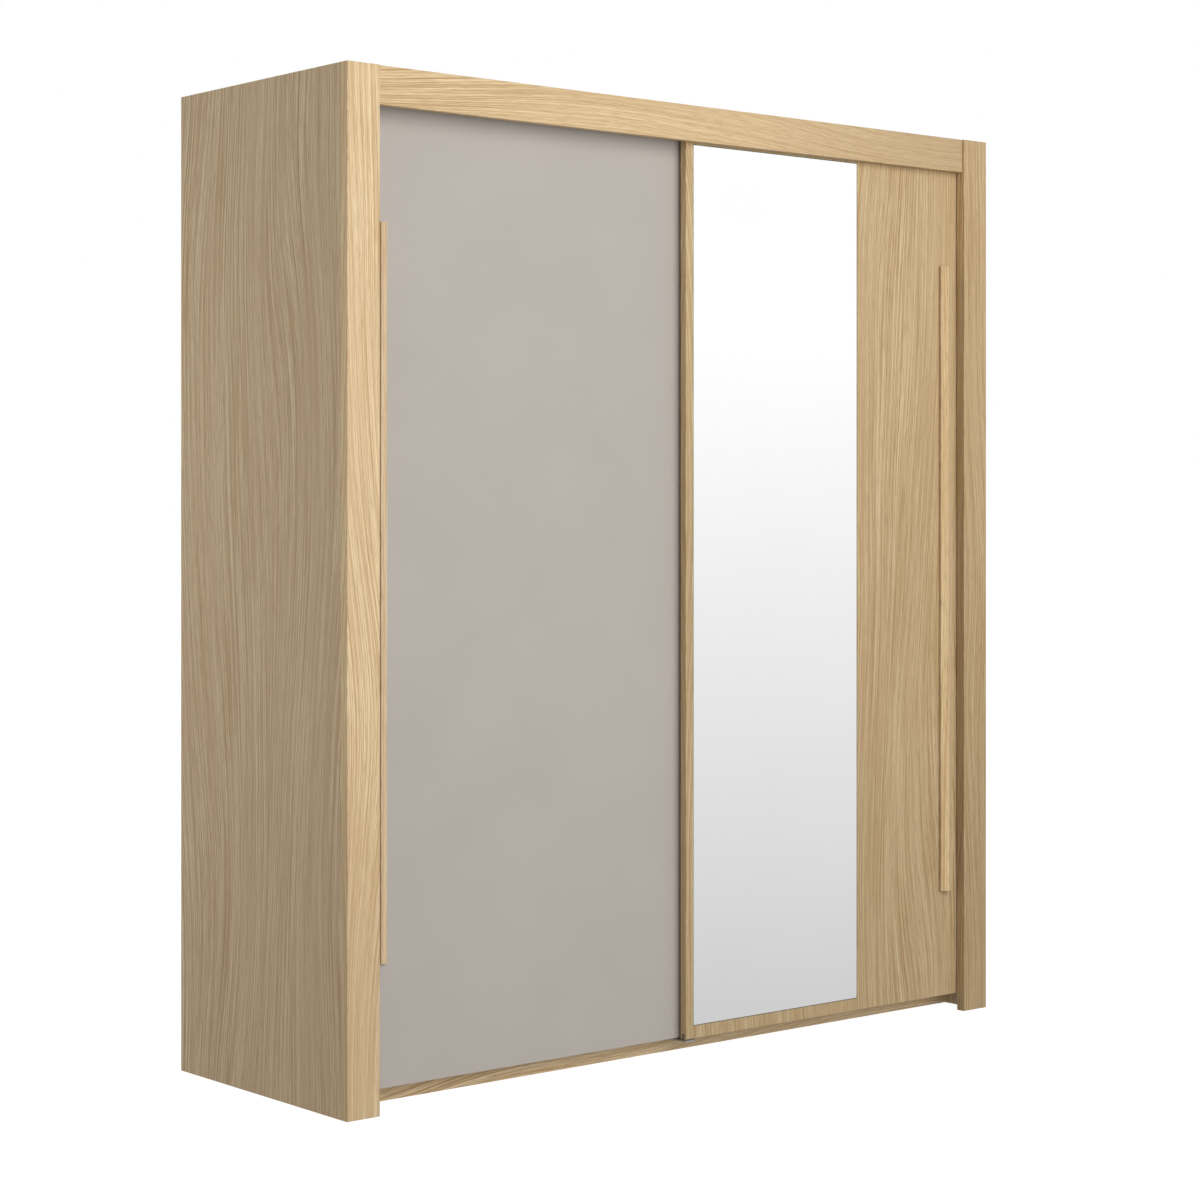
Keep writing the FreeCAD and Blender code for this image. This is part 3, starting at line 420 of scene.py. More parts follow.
def pressed_fibre(name, raw, printed, y_turn):
    """Hardboard: a printed decor on the side of the shelves and raw brown fibre on the wall's side."""
    board = Finish(name, Specular_IOR_Level=0.3)
    graph = board.graph
    tufts = board.even(300.0, 2.0, detail=5.0)
    flecks = board.even(90.0, 5.0, detail=3.0)
    clouds = board.even(4.0, 8.0, detail=1.0)
    mix = graph.weighed((tufts, 0.5), (flecks, 0.4), (clouds, 0.1))
    bare = board.tones(mix, darker(raw, 0.62), darker(raw, 1.30), (0.35, 0.65))
    board.bend_grain("Z", 6.0, PRINT_BEND)
    lines = graph.plus(board.drawn(*PRINT_BANDS), board.drawn(*PRINT_STREAKS))
    decor = board.tones(lines, darker(printed, 0.84), darker(printed, 1.08), (0.7, 1.3))
    behind = graph.math("GREATER_THAN", board.along("Y"), y_turn)
    board.set("Base Color", graph.blend(behind, decor, bare))
    board.polish(tufts, 0.55, 0.78)
    board.relief(tufts, 0.2, 0.4)
    return board.material


def matt_lacquer(name, colour):
    """Sprayed lacquer: even, matt, with a faint orange peel and barely seen clouds."""
    coat = Finish(name, Specular_IOR_Level=0.38)
    peel = coat.even(700.0, 4.0, detail=1.0)
    mix = coat.graph.weighed((coat.even(5.0, 1.0), 0.6), (coat.even(1900.0, 7.0, detail=0.0), 0.4))
    coat.paint(mix, darker(colour, 0.965), darker(colour, 1.03))
    coat.polish(peel, 0.50, 0.60)
    coat.relief(peel, 0.05, 0.35)
    return coat.material


def metal(name, colour, low, high, grain="", across=240.0, along=240.0, swing=0.10, depth=0.03):
    """A metal whose polish varies from low to high roughness along its rolling or drawing marks."""
    plate = Finish(name, Metallic=1.0)
    marks = plate.grown(grain, across, along, 2.0, detail=3.0)
    mix = plate.graph.weighed((marks, 0.6), (plate.even(22.0, 6.0), 0.4))
    plate.paint(mix, darker(colour, 1 - swing), darker(colour, 1 + swing / 2))
    plate.polish(marks, low, high)
    plate.relief(marks, depth, 0.4)
    return plate.material


def zinc_plate(name, colour):
    """Bright zinc plating with the faint spangle of its crystals."""
    plate = Finish(name, Metallic=1.0)
    graph = plate.graph
    cells = graph.add("ShaderNodeTexVoronoi", {"Vector": plate.place, "Scale": 260.0}).outputs["Color"]
    spangle = graph.add("ShaderNodeSeparateColor", {0: cells}).outputs[0]
    haze = plate.even(60.0, 3.0, detail=3.0)
    shade = graph.remap(graph.weighed((spangle, 0.35), (haze, 0.65)), 0.2, 0.8, 0, 1)
    dark, pale = toned(colour, (0.86, 0.86, 0.84)), toned(colour, (1.05, 1.06, 1.08))
    plate.set("Base Color", graph.blend(shade, dark, pale))
    plate.polish(shade, 0.26, 0.42, (0, 1))
    plate.relief(haze, 0.04, 0.3)
    return plate.material


def moulded(name, colour, low, high, depth=0.04):
    """Moulded plastic or rubber: a fine spark-eroded grain and faint flow clouds."""
    part = Finish(name, Specular_IOR_Level=0.45)
    grit = part.even(900.0, 2.0)
    mix = part.graph.weighed((grit, 0.5), (part.even(30.0, 5.0, detail=1.0), 0.5))
    part.paint(mix, darker(colour, 0.90), darker(colour, 1.06))
    part.polish(grit, low, high)
    part.relief(grit, depth, 0.5)
    return part.material


def foam_cells(name, colour):
    """Closed-cell foam with its small round cells."""
    tape = Finish(name, Specular_IOR_Level=0.2)
    inputs = {"Vector": tape.place, "Scale": 900.0}
    cells = tape.graph.add("ShaderNodeTexVoronoi", inputs).outputs["Distance"]
    tape.paint(cells, darker(colour, 0.78), colour, (0, 0.8))
    tape.polish(cells, 0.75, 0.92, (0, 0.8))
    tape.relief(cells, 0.2, 0.6)
    return tape.material


def silvered_glass(name, colour):
    """The mirror's face: near-perfect silver with the faintest waviness."""
    glass = Finish(name, Metallic=1.0)
    haze = glass.even(3.0, 1.0)
    glass.paint(haze, darker(colour, 0.985), colour)
    glass.polish(haze, 0.012, 0.03)
    return glass.material


def polished_edge(name, colour):
    """The mirror's ground edge: glassy, green and slightly uneven from the grinding."""
    edge = Finish(name, Coat_Weight=0.6, Coat_Roughness=0.08)
    grind = edge.grown("Z", 900.0, 60.0, 3.0)
    edge.paint(grind, darker(colour, 0.8), darker(colour, 1.15))
    edge.polish(grind, 0.08, 0.2)
    return edge.material


def finish_nodes(material, *names):
    """CAD nodes get their finish."""
    for name in names:
        for slot in nodes[name].material_slots:
            slot.material = material


# ---------------- pieces
def placed(name, data):
    """A new object in the scene."""
    thing = bpy.data.objects.new(name, data)
    bpy.context.scene.collection.objects.link(thing)
    return thing


def add_piece(name, mesh, stands_for):
    """A finished mesh in the wardrobe: it rides the body of the CAD node that it stands for, and hides it."""
    body = body_of_node[stands_for]
    piece = placed(name, mesh)
    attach(piece, body)
    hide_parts(stands_for)
    return piece


def merged(name):
    """An editable copy of a CAD node's mesh, with its loose triangles joined."""
    shape = bmesh.new()
    shape.from_mesh(nodes[name].data)
    bmesh.ops.remove_doubles(shape, verts=shape.verts, dist=0.002 * MM)
    return shape


def islands(name):
    """The box of each separate solid of a CAD node, as its middle and its size."""
    shape = merged(name)
    unseen = set(shape.verts)
    boxes = []
    while unseen:
        reached, border = set(), [next(iter(unseen))]
        while border:
            vertex = border.pop()
            if vertex in reached:
                continue
            reached.add(vertex)
            border.extend(edge.other_vert(vertex) for edge in vertex.link_edges)
        unseen -= reached
        low = Vector(min(v.co[i] for v in reached) for i in range(3))
        high = Vector(max(v.co[i] for v in reached) for i in range(3))
        boxes.append(((low + high) / 2, high - low))
    shape.free()
    return sorted(boxes, key=lambda box: tuple(round(value, 5) for value in box[0]))


def finished_mesh(name, shape, *materials, smooth_below=35.0):
    """A mesh from an edited shape, shaded smooth where its faces meet at a small angle."""
    mesh = bpy.data.meshes.new(name)
    for face in shape.faces:
        face.smooth = True
    shape.to_mesh(mesh)
    shape.free()
    mesh.set_sharp_from_angle(angle=math.radians(smooth_below))
    for material in materials:
        mesh.materials.append(material)
    return mesh


def eased(name, node, width, material):
    """A CAD node with its sharp edges rounded, as pressed or moulded parts have them."""
    shape = merged(node)
    closed = [edge for edge in shape.edges if edge.is_manifold]
    bmesh.ops.dissolve_limit(shape, angle_limit=math.radians(1), verts=shape.verts, edges=closed)
    closed = [edge for edge in shape.edges if edge.is_manifold]
    sharp = [edge for edge in closed if edge.calc_face_angle() > math.radians(40)]
    bmesh.ops.bevel(
        shape, geom=sharp, offset=width, segments=2, profile=0.5, affect="EDGES", clamp_overlap=True
    )
    mesh = finished_mesh(name, shape, material)
    return add_piece(name, mesh, node)


def turn(shape, profile, middle, steps, material_at=None):
    """Turns a closed outline of (radius, distance along Y) points about an axis along Y through middle."""
    rings = []
    for radius, along in profile:
        ring = []
        for step in range(steps):
            angle = 2 * math.pi * step / steps
            arm = Vector((radius * math.cos(angle), along, radius * math.sin(angle)))
            ring.append(shape.verts.new(middle + arm))
        rings.append(ring)
    for index, ring in enumerate(rings):
        following = rings[(index + 1) % len(rings)]
        for step in range(steps):
            ahead = (step + 1) % steps
            face = shape.faces.new((ring[step], ring[ahead], following[ahead], following[step]))
            face.material_index = material_at[index] if material_at else 0


# ---------------- trees for what repeats
def tree_with(name, inputs):
    """An empty geometry tree with the named inputs. Returns its graph, inputs and output."""
    tree = bpy.data.node_groups.new(name, "GeometryNodeTree")
    tree.interface.new_socket("Geometry", in_out="INPUT", socket_type="NodeSocketGeometry")
    for label, kind in inputs:
        tree.interface.new_socket(label, in_out="INPUT", socket_type=kind)
    tree.interface.new_socket("Geometry", in_out="OUTPUT", socket_type="NodeSocketGeometry")
    graph = Graph(tree)
    return graph, graph.add("NodeGroupInput").outputs, graph.add("NodeGroupOutput").inputs[0]


def drum(graph, low_radius, high_radius, height, bottom, sides=20, rings=1):
    """A closed drum or cone that stands on bottom."""
    inputs = {
        "Vertices": sides, "Fill Segments": rings, "Radius Top": high_radius,
        "Radius Bottom": low_radius, "Depth": height,
    }
    cone = graph.add("GeometryNodeMeshCone", inputs).outputs[0]
    lift = graph.add("ShaderNodeCombineXYZ", {"Z": bottom}).outputs[0]
    return graph.add("GeometryNodeTransform", {"Geometry": cone, "Translation": lift}).outputs[0]


def joined(graph, *shapes):
    join = graph.add("GeometryNodeJoinGeometry")
    for shape in shapes:
        graph.tree.links.new(shape, join.inputs[0])
    return join.outputs[0]


def planted(graph, seats, shape, seed, finish, output):
    """One copy of the shape on each seat, along the seat's own way and turned by chance."""
    way = graph.add("GeometryNodeInputNamedAttribute", {"Name": "way"}, data_type="FLOAT_VECTOR").outputs[0]
    upright = graph.add("FunctionNodeAlignRotationToVector", {"Vector": way}, axis="Z").outputs[0]
    angle = graph.add("FunctionNodeRandomValue", {3: math.pi, 8: seed}, data_type="FLOAT").outputs[1]
    twist = graph.add("FunctionNodeAxisAngleToRotation", {"Axis": (0, 0, 1), "Angle": angle}).outputs[0]
    turned = graph.add(
        "FunctionNodeRotateRotation", {"Rotation": upright, "Rotate By": twist}, rotation_space="LOCAL"
    ).outputs[0]
    inputs = {"Points": seats, "Instance": shape, "Rotation": turned}
    copies = graph.add("GeometryNodeInstanceOnPoints", inputs).outputs[0]
    real = graph.add("GeometryNodeRealizeInstances", {"Geometry": copies})
    solid = graph.add("GeometryNodeSetMaterial", {"Geometry": real.outputs[0], "Material": finish})
    graph.join(solid.outputs[0], output)


def screw_tree():
    """A screw or nail under each seat: a domed or countersunk head, its cross recess, a shank and a point."""
    lengths = [
        "Face Radius", "Seat Radius", "Head Height", "Dome", "Shank Radius", "Length",
        "Slot Width", "Slot Span", "Slot Depth",
    ]
    inputs = [(label, "NodeSocketFloat") for label in lengths]
    inputs += [("Slotted", "NodeSocketBool"), ("Seed", "NodeSocketInt"), ("Metal", "NodeSocketMaterial")]
    graph, given, output = tree_with("Wardrobe screws", inputs)
    face, seat, height, dome, shank, length, wide, span, deep = (given[label] for label in lengths)

    head_floor = graph.times(height, -1.0)
    head = drum(graph, seat, face, graph.minus(height, dome), head_floor, rings=3)
    spot = graph.add("ShaderNodeSeparateXYZ", {0: graph.add("GeometryNodeInputPosition").outputs[0]}).outputs
    out = graph.plus(graph.times(spot[0], spot[0]), graph.times(spot[1], spot[1]))
    swell = graph.times(dome, graph.minus(1.0, graph.math("DIVIDE", out, graph.times(face, face))))
    on_top = graph.math("GREATER_THAN", spot[2], graph.times(head_floor, 0.75))
    swell = graph.times(graph.math("MAXIMUM", swell, 0.0), on_top)
    rise = graph.add("ShaderNodeCombineXYZ", {"Z": swell}).outputs[0]
    head = graph.add("GeometryNodeSetPosition", {"Geometry": head, "Offset": rise}).outputs[0]

    cross = graph.add("GeometryNodeMeshBoolean", operation="UNION")
    for x, y in ((wide, span), (span, wide)):
        size = graph.add("ShaderNodeCombineXYZ", {0: x, 1: y, 2: graph.times(deep, 2.0)}).outputs[0]
        arm = graph.add("GeometryNodeMeshCube", {"Size": size}).outputs[0]
        graph.tree.links.new(arm, cross.inputs["Mesh 2"])
    recessed = graph.add("GeometryNodeMeshBoolean", {"Mesh 1": head}, operation="DIFFERENCE")
    graph.tree.links.new(cross.outputs[0], recessed.inputs["Mesh 2"])
    pick = {"Switch": given["Slotted"], "False": head, "True": recessed.outputs[0]}
    head = graph.add("GeometryNodeSwitch", pick, input_type="GEOMETRY").outputs[0]

    point = graph.times(shank, 1.5)
    end = graph.times(length, -1.0)
    bottom = graph.plus(end, point)
    stem = drum(graph, shank, shank, graph.minus(graph.times(head_floor, 0.9), bottom), bottom, sides=12)
    tip = drum(graph, graph.times(shank, 0.25), shank, point, end, sides=12)
    planted(graph, given["Geometry"], joined(graph, head, stem, tip), given["Seed"], given["Metal"], output)
    return graph.tree


def pin_tree():
    """A shelf pin in each hole: a plug, a thin collar against the board, and a peg with a chamfered end."""
    lengths = ["Radius", "Bite", "Reach", "Collar Radius", "Collar Thickness", "Chamfer"]
    inputs = [(label, "NodeSocketFloat") for label in lengths]
    inputs += [("Seed", "NodeSocketInt"), ("Metal", "NodeSocketMaterial")]
    graph, given, output = tree_with("Wardrobe shelf pins", inputs)
    radius, bite, reach, collar, thick, chamfer = (given[label] for label in lengths)
    small = graph.minus(radius, chamfer)
    rim = graph.minus(collar, graph.times(thick, 0.4))
    peg_end = graph.minus(reach, chamfer)
    plug_end = graph.times(bite, -1.0)
    shapes = [
        drum(graph, small, radius, chamfer, plug_end),
        drum(graph, radius, radius, graph.minus(bite, chamfer), graph.plus(plug_end, chamfer)),
        drum(graph, collar, rim, thick, 0.0),
        drum(graph, radius, radius, peg_end, 0.0),
        drum(graph, radius, small, chamfer, peg_end),
    ]
    planted(graph, given["Geometry"], joined(graph, *shapes), given["Seed"], given["Metal"], output)
    return graph.tree


def grown_on(name, tree, seats, values):
    """Runs a tree on its seats, each a place and a way, and returns the plain mesh."""
    points = bpy.data.meshes.new(name + "_seats")
    points.from_pydata([place for place, way in seats], [], [])
    ways = points.attributes.new("way", "FLOAT_VECTOR", "POINT")
    for item, (place, way) in zip(ways.data, seats):
        item.vector = way
    carrier = placed(name + "_carrier", points)
    modifier = carrier.modifiers.new("Grown", "NODES")
    modifier.node_group = tree
    for item in tree.interface.items_tree:
        if item.in_out == "INPUT" and item.name in values:
            modifier[item.identifier] = values[item.name]
    bpy.context.view_layer.update()
    depsgraph = bpy.context.evaluated_depsgraph_get()
    mesh = bpy.data.meshes.new_from_object(carrier.evaluated_get(depsgraph), depsgraph=depsgraph)
    bpy.data.objects.remove(carrier)
    mesh.name = name
    if len(mesh.polygons) == 0:
        raise RuntimeError(f"{name}: the tree made no faces")
    return mesh


def one_mesh(name, meshes, material):
    """Several plain meshes as one."""
    shape = bmesh.new()
    for mesh in meshes:
        shape.from_mesh(mesh)
        bpy.data.meshes.remove(mesh)
    for face in shape.faces:
        face.material_index = 0
    return finished_mesh(name, shape, material, smooth_below=40.0)


def outer_face(box, way):
    """The middle of a box's face on the side that way points to."""
    middle, size = box
    return middle + Vector(size[i] / 2 * way[i] for i in range(3))


def towards(bay_middle, middle):
    """The way along X from a bay's wall into the bay."""
    return Vector((1 if middle.x < bay_middle else -1, 0, 0))


def set_screws(name, node, way_of, kind):
    """Zinc screws or nails in place of a CAD node's plain ones. way_of gives where a box's head looks."""
    hardware = bpy.context.scene.wardrobe_hardware
    flat, pan, nail = hardware.flat_head_radius, hardware.pan_head_radius, hardware.nail_head_radius
    pan_high, nail_high, shank = hardware.pan_head_height, hardware.nail_head_height, hardware.screw_radius
    labels = ("Face Radius", "Seat Radius", "Head Height", "Dome", "Shank Radius", "Slotted")
    values = dict(zip(labels, {
        "flat": (flat, shank, hardware.flat_head_height, 0.0, shank, True),
        "pan": (pan * 0.9, pan, pan_high, pan_high * 0.4, shank, True),
        "nail": (nail * 0.9, nail, nail_high, nail_high * 0.35, hardware.nail_radius, False),
    }[kind]))
    values.update({
        "Slot Width": hardware.slot_width, "Slot Depth": hardware.slot_depth,
        "Slot Span": values["Face Radius"] * 1.25, "Seed": hardware.seed, "Metal": zinc(),
    })
    by_length = {}
    for box in islands(node):
        way = way_of(box[0])
        length = round(sum(abs(box[1][i] * way[i]) for i in range(3)), 5)
        by_length.setdefault(length, []).append((outer_face(box, way), way))
    tree = bpy.data.node_groups.get("Wardrobe screws") or screw_tree()
    meshes = []
    for length, seats in sorted(by_length.items()):
        meshes.append(grown_on(name, tree, seats, {**values, "Length": length}))
    return add_piece(name, one_mesh(name, meshes, zinc()), node)


def shared(name, make, *values, **more):
    """A material that several operators use, made once."""
    return bpy.data.materials.get(name) or make(name, *values, **more)


def zinc():
    return shared("Zinc plate", zinc_plate, bpy.context.scene.wardrobe_finishes.zinc)


def chrome():
    colour = bpy.context.scene.wardrobe_finishes.chrome
    return shared("Chrome", metal, colour, 0.05, 0.11, "X", 500.0, 6.0, swing=0.03, depth=0.005)


def guide_nylon():
    return shared("Guide nylon", moulded, bpy.context.scene.wardrobe_finishes.nylon, 0.40, 0.52)


class WardrobeStep:
    """What every step of the build shares."""

    bl_options = {"REGISTER", "UNDO"}

    def execute(self, context):
        self.build(context.scene.wardrobe_finishes, context.scene.wardrobe_hardware)
        return {"FINISHED"}


# ---------------- boards and doors
class WARDROBE_OT_outer_boards(WardrobeStep, Operator):
    """Veneer the side panels, posts, fascia and front plinth"""

    bl_idname = "wardrobe.outer_boards"
    bl_label = "Outer boards"

    def build(self, finishes, hardware):
        fascia_oak = toned(finishes.oak_frame, (0.97, 0.96, 0.92))
        # Painted light falloff: the fascia darkens towards the right and the posts lighten towards the top.
        painted_falloff_right = ("X", 0.0, 1.0, 1.0, 0.77)
        painted_light_to_top = ("Z", 0.2, 2.1, 0.88, 1.09)
        for name, colour, grain, shift, contrast, bend, fade in (
            ("side_panel_left", finishes.oak_side, "Z", 2.0, 1.35, 0.32, None),
            ("side_panel_right", finishes.oak_side, "Z", 31.0, 1.35, 0.32, None),
            ("post_left", finishes.oak_frame, "Z", 47.0, 1.1, 0.5, ("Z", 0.15, 0.9, 0.93, 1.05)),
            ("post_right", finishes.oak_right_post_painted_shade, "Z", 68.0, 1.7, 0.4, painted_light_to_top),
            ("fascia", fascia_oak, "X", 85.0, 1.0, 0.22, painted_falloff_right),
            ("plinth_front", finishes.oak_frame, "X", 101.0, 1.0, 0.32, None),
        ):
            finish_nodes(veneer(f"Oak {name}", colour, grain, shift, contrast, bend, fade=fade), name)


class WARDROBE_OT_inner_boards(WardrobeStep, Operator):
    """Print the carcass boards, the shelves and the back panels, and finish the strip over the seam"""

    bl_idname = "wardrobe.inner_boards"
    bl_label = "Inner boards"

    def build(self, finishes, hardware):
        shelves = [name for name in nodes if name.startswith("adjustable_shelf_")]
        levels = ["top_panel", "bottom_panel", "plinth_back", "hat_shelf_left", "hat_shelf_right"]
        for name, grain, shift, boards in (
            ("upright", "Z", 3.0, ["partition"]),
            ("level", "X", 21.0, levels),
            ("shelf", "X", 43.0, shelves),
            ("brace", "Y", 62.0, ["plinth_braces"]),
        ):
            finish_nodes(interior_print(f"Interior {name}", finishes.interior, grain, shift), *boards)
        low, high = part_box("back_panel_left")
        back = pressed_fibre("Hardboard", finishes.hardboard, finishes.interior, (low.y + high.y) / 2)
        finish_nodes(back, "back_panel_left", "back_panel_right")
        finish_nodes(moulded("Seam strip", finishes.strip, 0.42, 0.55), "back_seam_strip")


class WARDROBE_OT_doors(WardrobeStep, Operator):
    """Finish both door panels, their handles and the guide channels in their bottom edges"""

    bl_idname = "wardrobe.doors"
    bl_label = "Doors"

    def build(self, finishes, hardware):
        # Painted light falloff: the front door lightens towards the top.
        painted_light_to_top = ("Z", 0.3, 1.9, 0.93, 1.05)
        front = veneer("Oak front door", finishes.oak_door, "Z", 122.0, fade=painted_light_to_top)
        finish_nodes(front, "front_door_panel")
        finish_nodes(matt_lacquer("Taupe lacquer", finishes.taupe), "rear_door_panel")
        finish_nodes(guide_nylon(), "front_guide_channel", "rear_guide_channel")
        low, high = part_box("front_door_handle")
        # Painted shade on the front handle's left side face and painted highlight on its left half, for light
        # from the left.
        sides = (low.x + 0.4 * MM, (low.x + high.x) / 2)
        front = veneer("Oak front handle", finishes.oak_door, "Z", 143.0, 0.8, 0.06, lean=0.35, sides=sides)
        rear = veneer("Oak rear handle", finishes.oak_rear_handle, "Z", 161.0, 0.8, 0.06, lean=0.35)
        finish_nodes(front, "front_door_handle")
        finish_nodes(rear, "rear_door_handle")


class WARDROBE_OT_mirror(WardrobeStep, Operator):
    """Cut the mirror with a polished edge, and finish its foam pads"""

    bl_idname = "wardrobe.mirror"
    bl_label = "Mirror"

    def build(self, finishes, hardware):
        low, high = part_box("mirror")
        arris = hardware.mirror_arris
        shape = bmesh.new()
        rings = []
        for inset, y in ((0, high.y), (0, low.y + arris), (arris, low.y)):
            corners = (
                (low.x + inset, low.z + inset), (high.x - inset, low.z + inset),
                (high.x - inset, high.z - inset), (low.x + inset, high.z - inset),
            )
            rings.append([shape.verts.new((x, y, z)) for x, z in corners])
        shape.faces.new(reversed(rings[0]))
        for near, far in zip(rings, rings[1:]):
            for i in range(4):
                shape.faces.new((near[i], near[(i + 1) % 4], far[(i + 1) % 4], far[i])).material_index = 1
        shape.faces.new(rings[-1])
        bmesh.ops.recalc_face_normals(shape, faces=shape.faces)
        silver = silvered_glass("Mirror silver", finishes.silvering)
        edge = polished_edge("Mirror edge", finishes.glass_edge)
        mesh = finished_mesh("door_mirror", shape, silver, edge, smooth_below=5.0)
        add_piece("door_mirror", mesh, "mirror")
        finish_nodes(foam_cells("Foam tape", finishes.foam), "mirror_pads")


# ---------------- running gear
class WARDROBE_OT_track(WardrobeStep, Operator):
    """Finish the twin aluminium track, mould its rubber stops and press the plates that hang the doors"""

    bl_idname = "wardrobe.track"
    bl_label = "Track and hangers"

    def build(self, finishes, hardware):
        extrusion = metal("Anodised aluminium", finishes.aluminium, 0.30, 0.44, "X", 900.0, 3.0, depth=0.05)
        finish_nodes(extrusion, "door_track")
        rubber = moulded("Stop rubber", finishes.rubber, 0.70, 0.85, depth=0.08)
        eased("door_stops", "track_stops", hardware.rubber_ease, rubber)
        for door in ("front", "rear"):
            eased(f"{door}_hanger_plates", f"{door}_door_hangers", hardware.plate_ease, zinc())


class WARDROBE_OT_wheels(WardrobeStep, Operator):
    """Turn the wheels with their bearings, and the riveted axles"""

    bl_idname = "wardrobe.wheels"
    bl_label = "Wheels"

    def build(self, finishes, hardware):
        tread = moulded("Wheel nylon", finishes.wheel, 0.34, 0.46)
        ring = metal("Bearing steel", finishes.bearing, 0.16, 0.26, swing=0.08)
        for node in sorted(name for name in nodes if name.endswith("_wheels")):
            shape = bmesh.new()
            for middle, size in islands(node):
                self.wheel(shape, middle, size, hardware)
            bmesh.ops.recalc_face_normals(shape, faces=shape.faces)
            name = node.replace("_door_", "_").replace("_wheels", "_wheel_pair")
            mesh = finished_mesh(name, shape, tread, ring, smooth_below=28.0)
            add_piece(name, mesh, node)
        for door in ("front", "rear"):
            self.axles(door)

    def wheel(self, shape, middle, size, hardware):
        """A crowned tread on a bearing with an outer ring, a sunk shield and an inner ring."""
        radius, half = size.x / 2, size.y / 2
        bearing, sunk = hardware.bearing_radius, hardware.wheel_groove
        bore = 2.6 * MM
        shield = bearing - 1.1 * MM
        hub = bore + 0.9 * MM
        side = half - sunk
        outline = [
            (bore, -side), (hub, -side), (hub, -side + 0.35 * MM), (shield, -side + 0.35 * MM),
            (shield, -side), (bearing, -side), (bearing, -side - 0.3 * MM), (bearing + 0.5 * MM, -half),
            (radius - 1.0 * MM, -half), (radius - 0.3 * MM, -half + 0.3 * MM), (radius, -half + 1.0 * MM),
        ]
        outline += [(r, -along) for r, along in reversed(outline)]
        steel = [1, 1, 1, 1, 1, 0, 0, 0, 0, 0]
        turn(shape, outline, middle, 48, steel + [0] + steel[::-1] + [1])

    def axles(self, door):
        """Pins with rounded rivet heads."""
        node = f"{door}_hanger_axles"
        shape = bmesh.new()
        for middle, size in islands(node):
            radius, half = size.x / 2, size.y / 2
            neck = half - 1.2 * MM
            outline = [
                (0.02 * MM, -half), (radius * 0.55, -half + 0.12 * MM), (radius * 0.85, -half + 0.4 * MM),
                (radius, -half + 0.8 * MM), (radius, -neck), (2.5 * MM, -neck),
            ]
            outline += [(r, -along) for r, along in reversed(outline)]
            turn(shape, outline, middle, 32)
        bmesh.ops.remove_doubles(shape, verts=shape.verts, dist=0.03 * MM)
        bmesh.ops.recalc_face_normals(shape, faces=shape.faces)
        mesh = finished_mesh(f"{door}_axles", shape, zinc(), smooth_below=40.0)
        add_piece(f"{door}_axles", mesh, node)


# ---------------- small hardware
class WARDROBE_OT_screws(WardrobeStep, Operator):
    """Drive every screw, and nail the back panels"""

    bl_idname = "wardrobe.screws"
    bl_label = "Screws and nails"

    def build(self, finishes, hardware):
        backward, downward = Vector((0, 1, 0)), Vector((0, 0, -1))
        low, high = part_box("hanging_rail")
        bay_middle = (low.x + high.x) / 2
        for name, node, way, kind in (
            ("track_screw_heads", "track_screws", downward, "flat"),
            ("front_plate_screws", "front_hanger_screws", backward, "pan"),
            ("rear_plate_screws", "rear_hanger_screws", backward, "pan"),
            ("front_bar_screws", "front_handle_screws", backward, "flat"),
            ("rear_bar_screws", "rear_handle_screws", backward, "flat"),
            ("socket_screws", "rail_socket_screws", None, "flat"),
            ("guide_plate_screws", "guide_screws", downward, "flat"),
            ("wall_angle_screws", "wall_bracket_screws", downward, "pan"),
            ("back_nails", "back_panel_nails", backward, "nail"),
        ):
            def way_of(middle):
                return towards(bay_middle, middle) if way is None else way

            set_screws(name, node, way_of, kind)


class WARDROBE_OT_joinery(WardrobeStep, Operator):
    """Finish the cams, their bolts and the dowels"""

    bl_idname = "wardrobe.joinery"
    bl_label = "Cams and dowels"

    def build(self, finishes, hardware):
        casting = metal("Cam casting", finishes.zinc, 0.38, 0.55, "", 520.0, 520.0, swing=0.2, depth=0.06)
        finish_nodes(casting, "cam_locks")
        finish_nodes(zinc(), "cam_bolts")
        finish_nodes(veneer("Beech", finishes.beech, "Y", 184.0, contrast=0.7, pores=0.2), "wood_dowels")


class WARDROBE_OT_shelf_pins(WardrobeStep, Operator):
    """Set the collared pins under the adjustable shelves"""

    bl_idname = "wardrobe.shelf_pins"
    bl_label = "Shelf pins"

    def build(self, finishes, hardware):
        low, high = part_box("adjustable_shelf_1")
        bay_middle = (low.x + high.x) / 2
        seats = []
        for middle, size in islands("shelf_pins"):
            way = towards(bay_middle, middle)
            seats.append((outer_face((middle, size), way) - way * hardware.pin_reach, way))
        values = {
            "Radius": size.y / 2, "Bite": size.x - hardware.pin_reach, "Reach": hardware.pin_reach,
            "Collar Radius": hardware.pin_collar, "Collar Thickness": hardware.pin_collar_thick,
            "Chamfer": 0.5 * MM, "Seed": hardware.seed, "Metal": zinc(),
        }
        mesh = one_mesh("shelf_pegs", [grown_on("shelf_pegs", pin_tree(), seats, values)], zinc())
        add_piece("shelf_pegs", mesh, "shelf_pins")


class WARDROBE_OT_fittings(WardrobeStep, Operator):
    """Cast the rail's sockets, mould the bottom guide, and press its plate and the wall angles"""

    bl_idname = "wardrobe.fittings"
    bl_label = "Rail, guide and wall brackets"

    def build(self, finishes, hardware):
        finish_nodes(chrome(), "hanging_rail")
        eased("rail_cups", "rail_sockets", 0.5 * MM, chrome())
        eased("guide_plate", "guide_bracket", hardware.plate_ease, zinc())
        eased("guide_fins", "guide_block", 0.4 * MM, guide_nylon())
        eased("wall_angles", "wall_brackets", hardware.plate_ease, zinc())


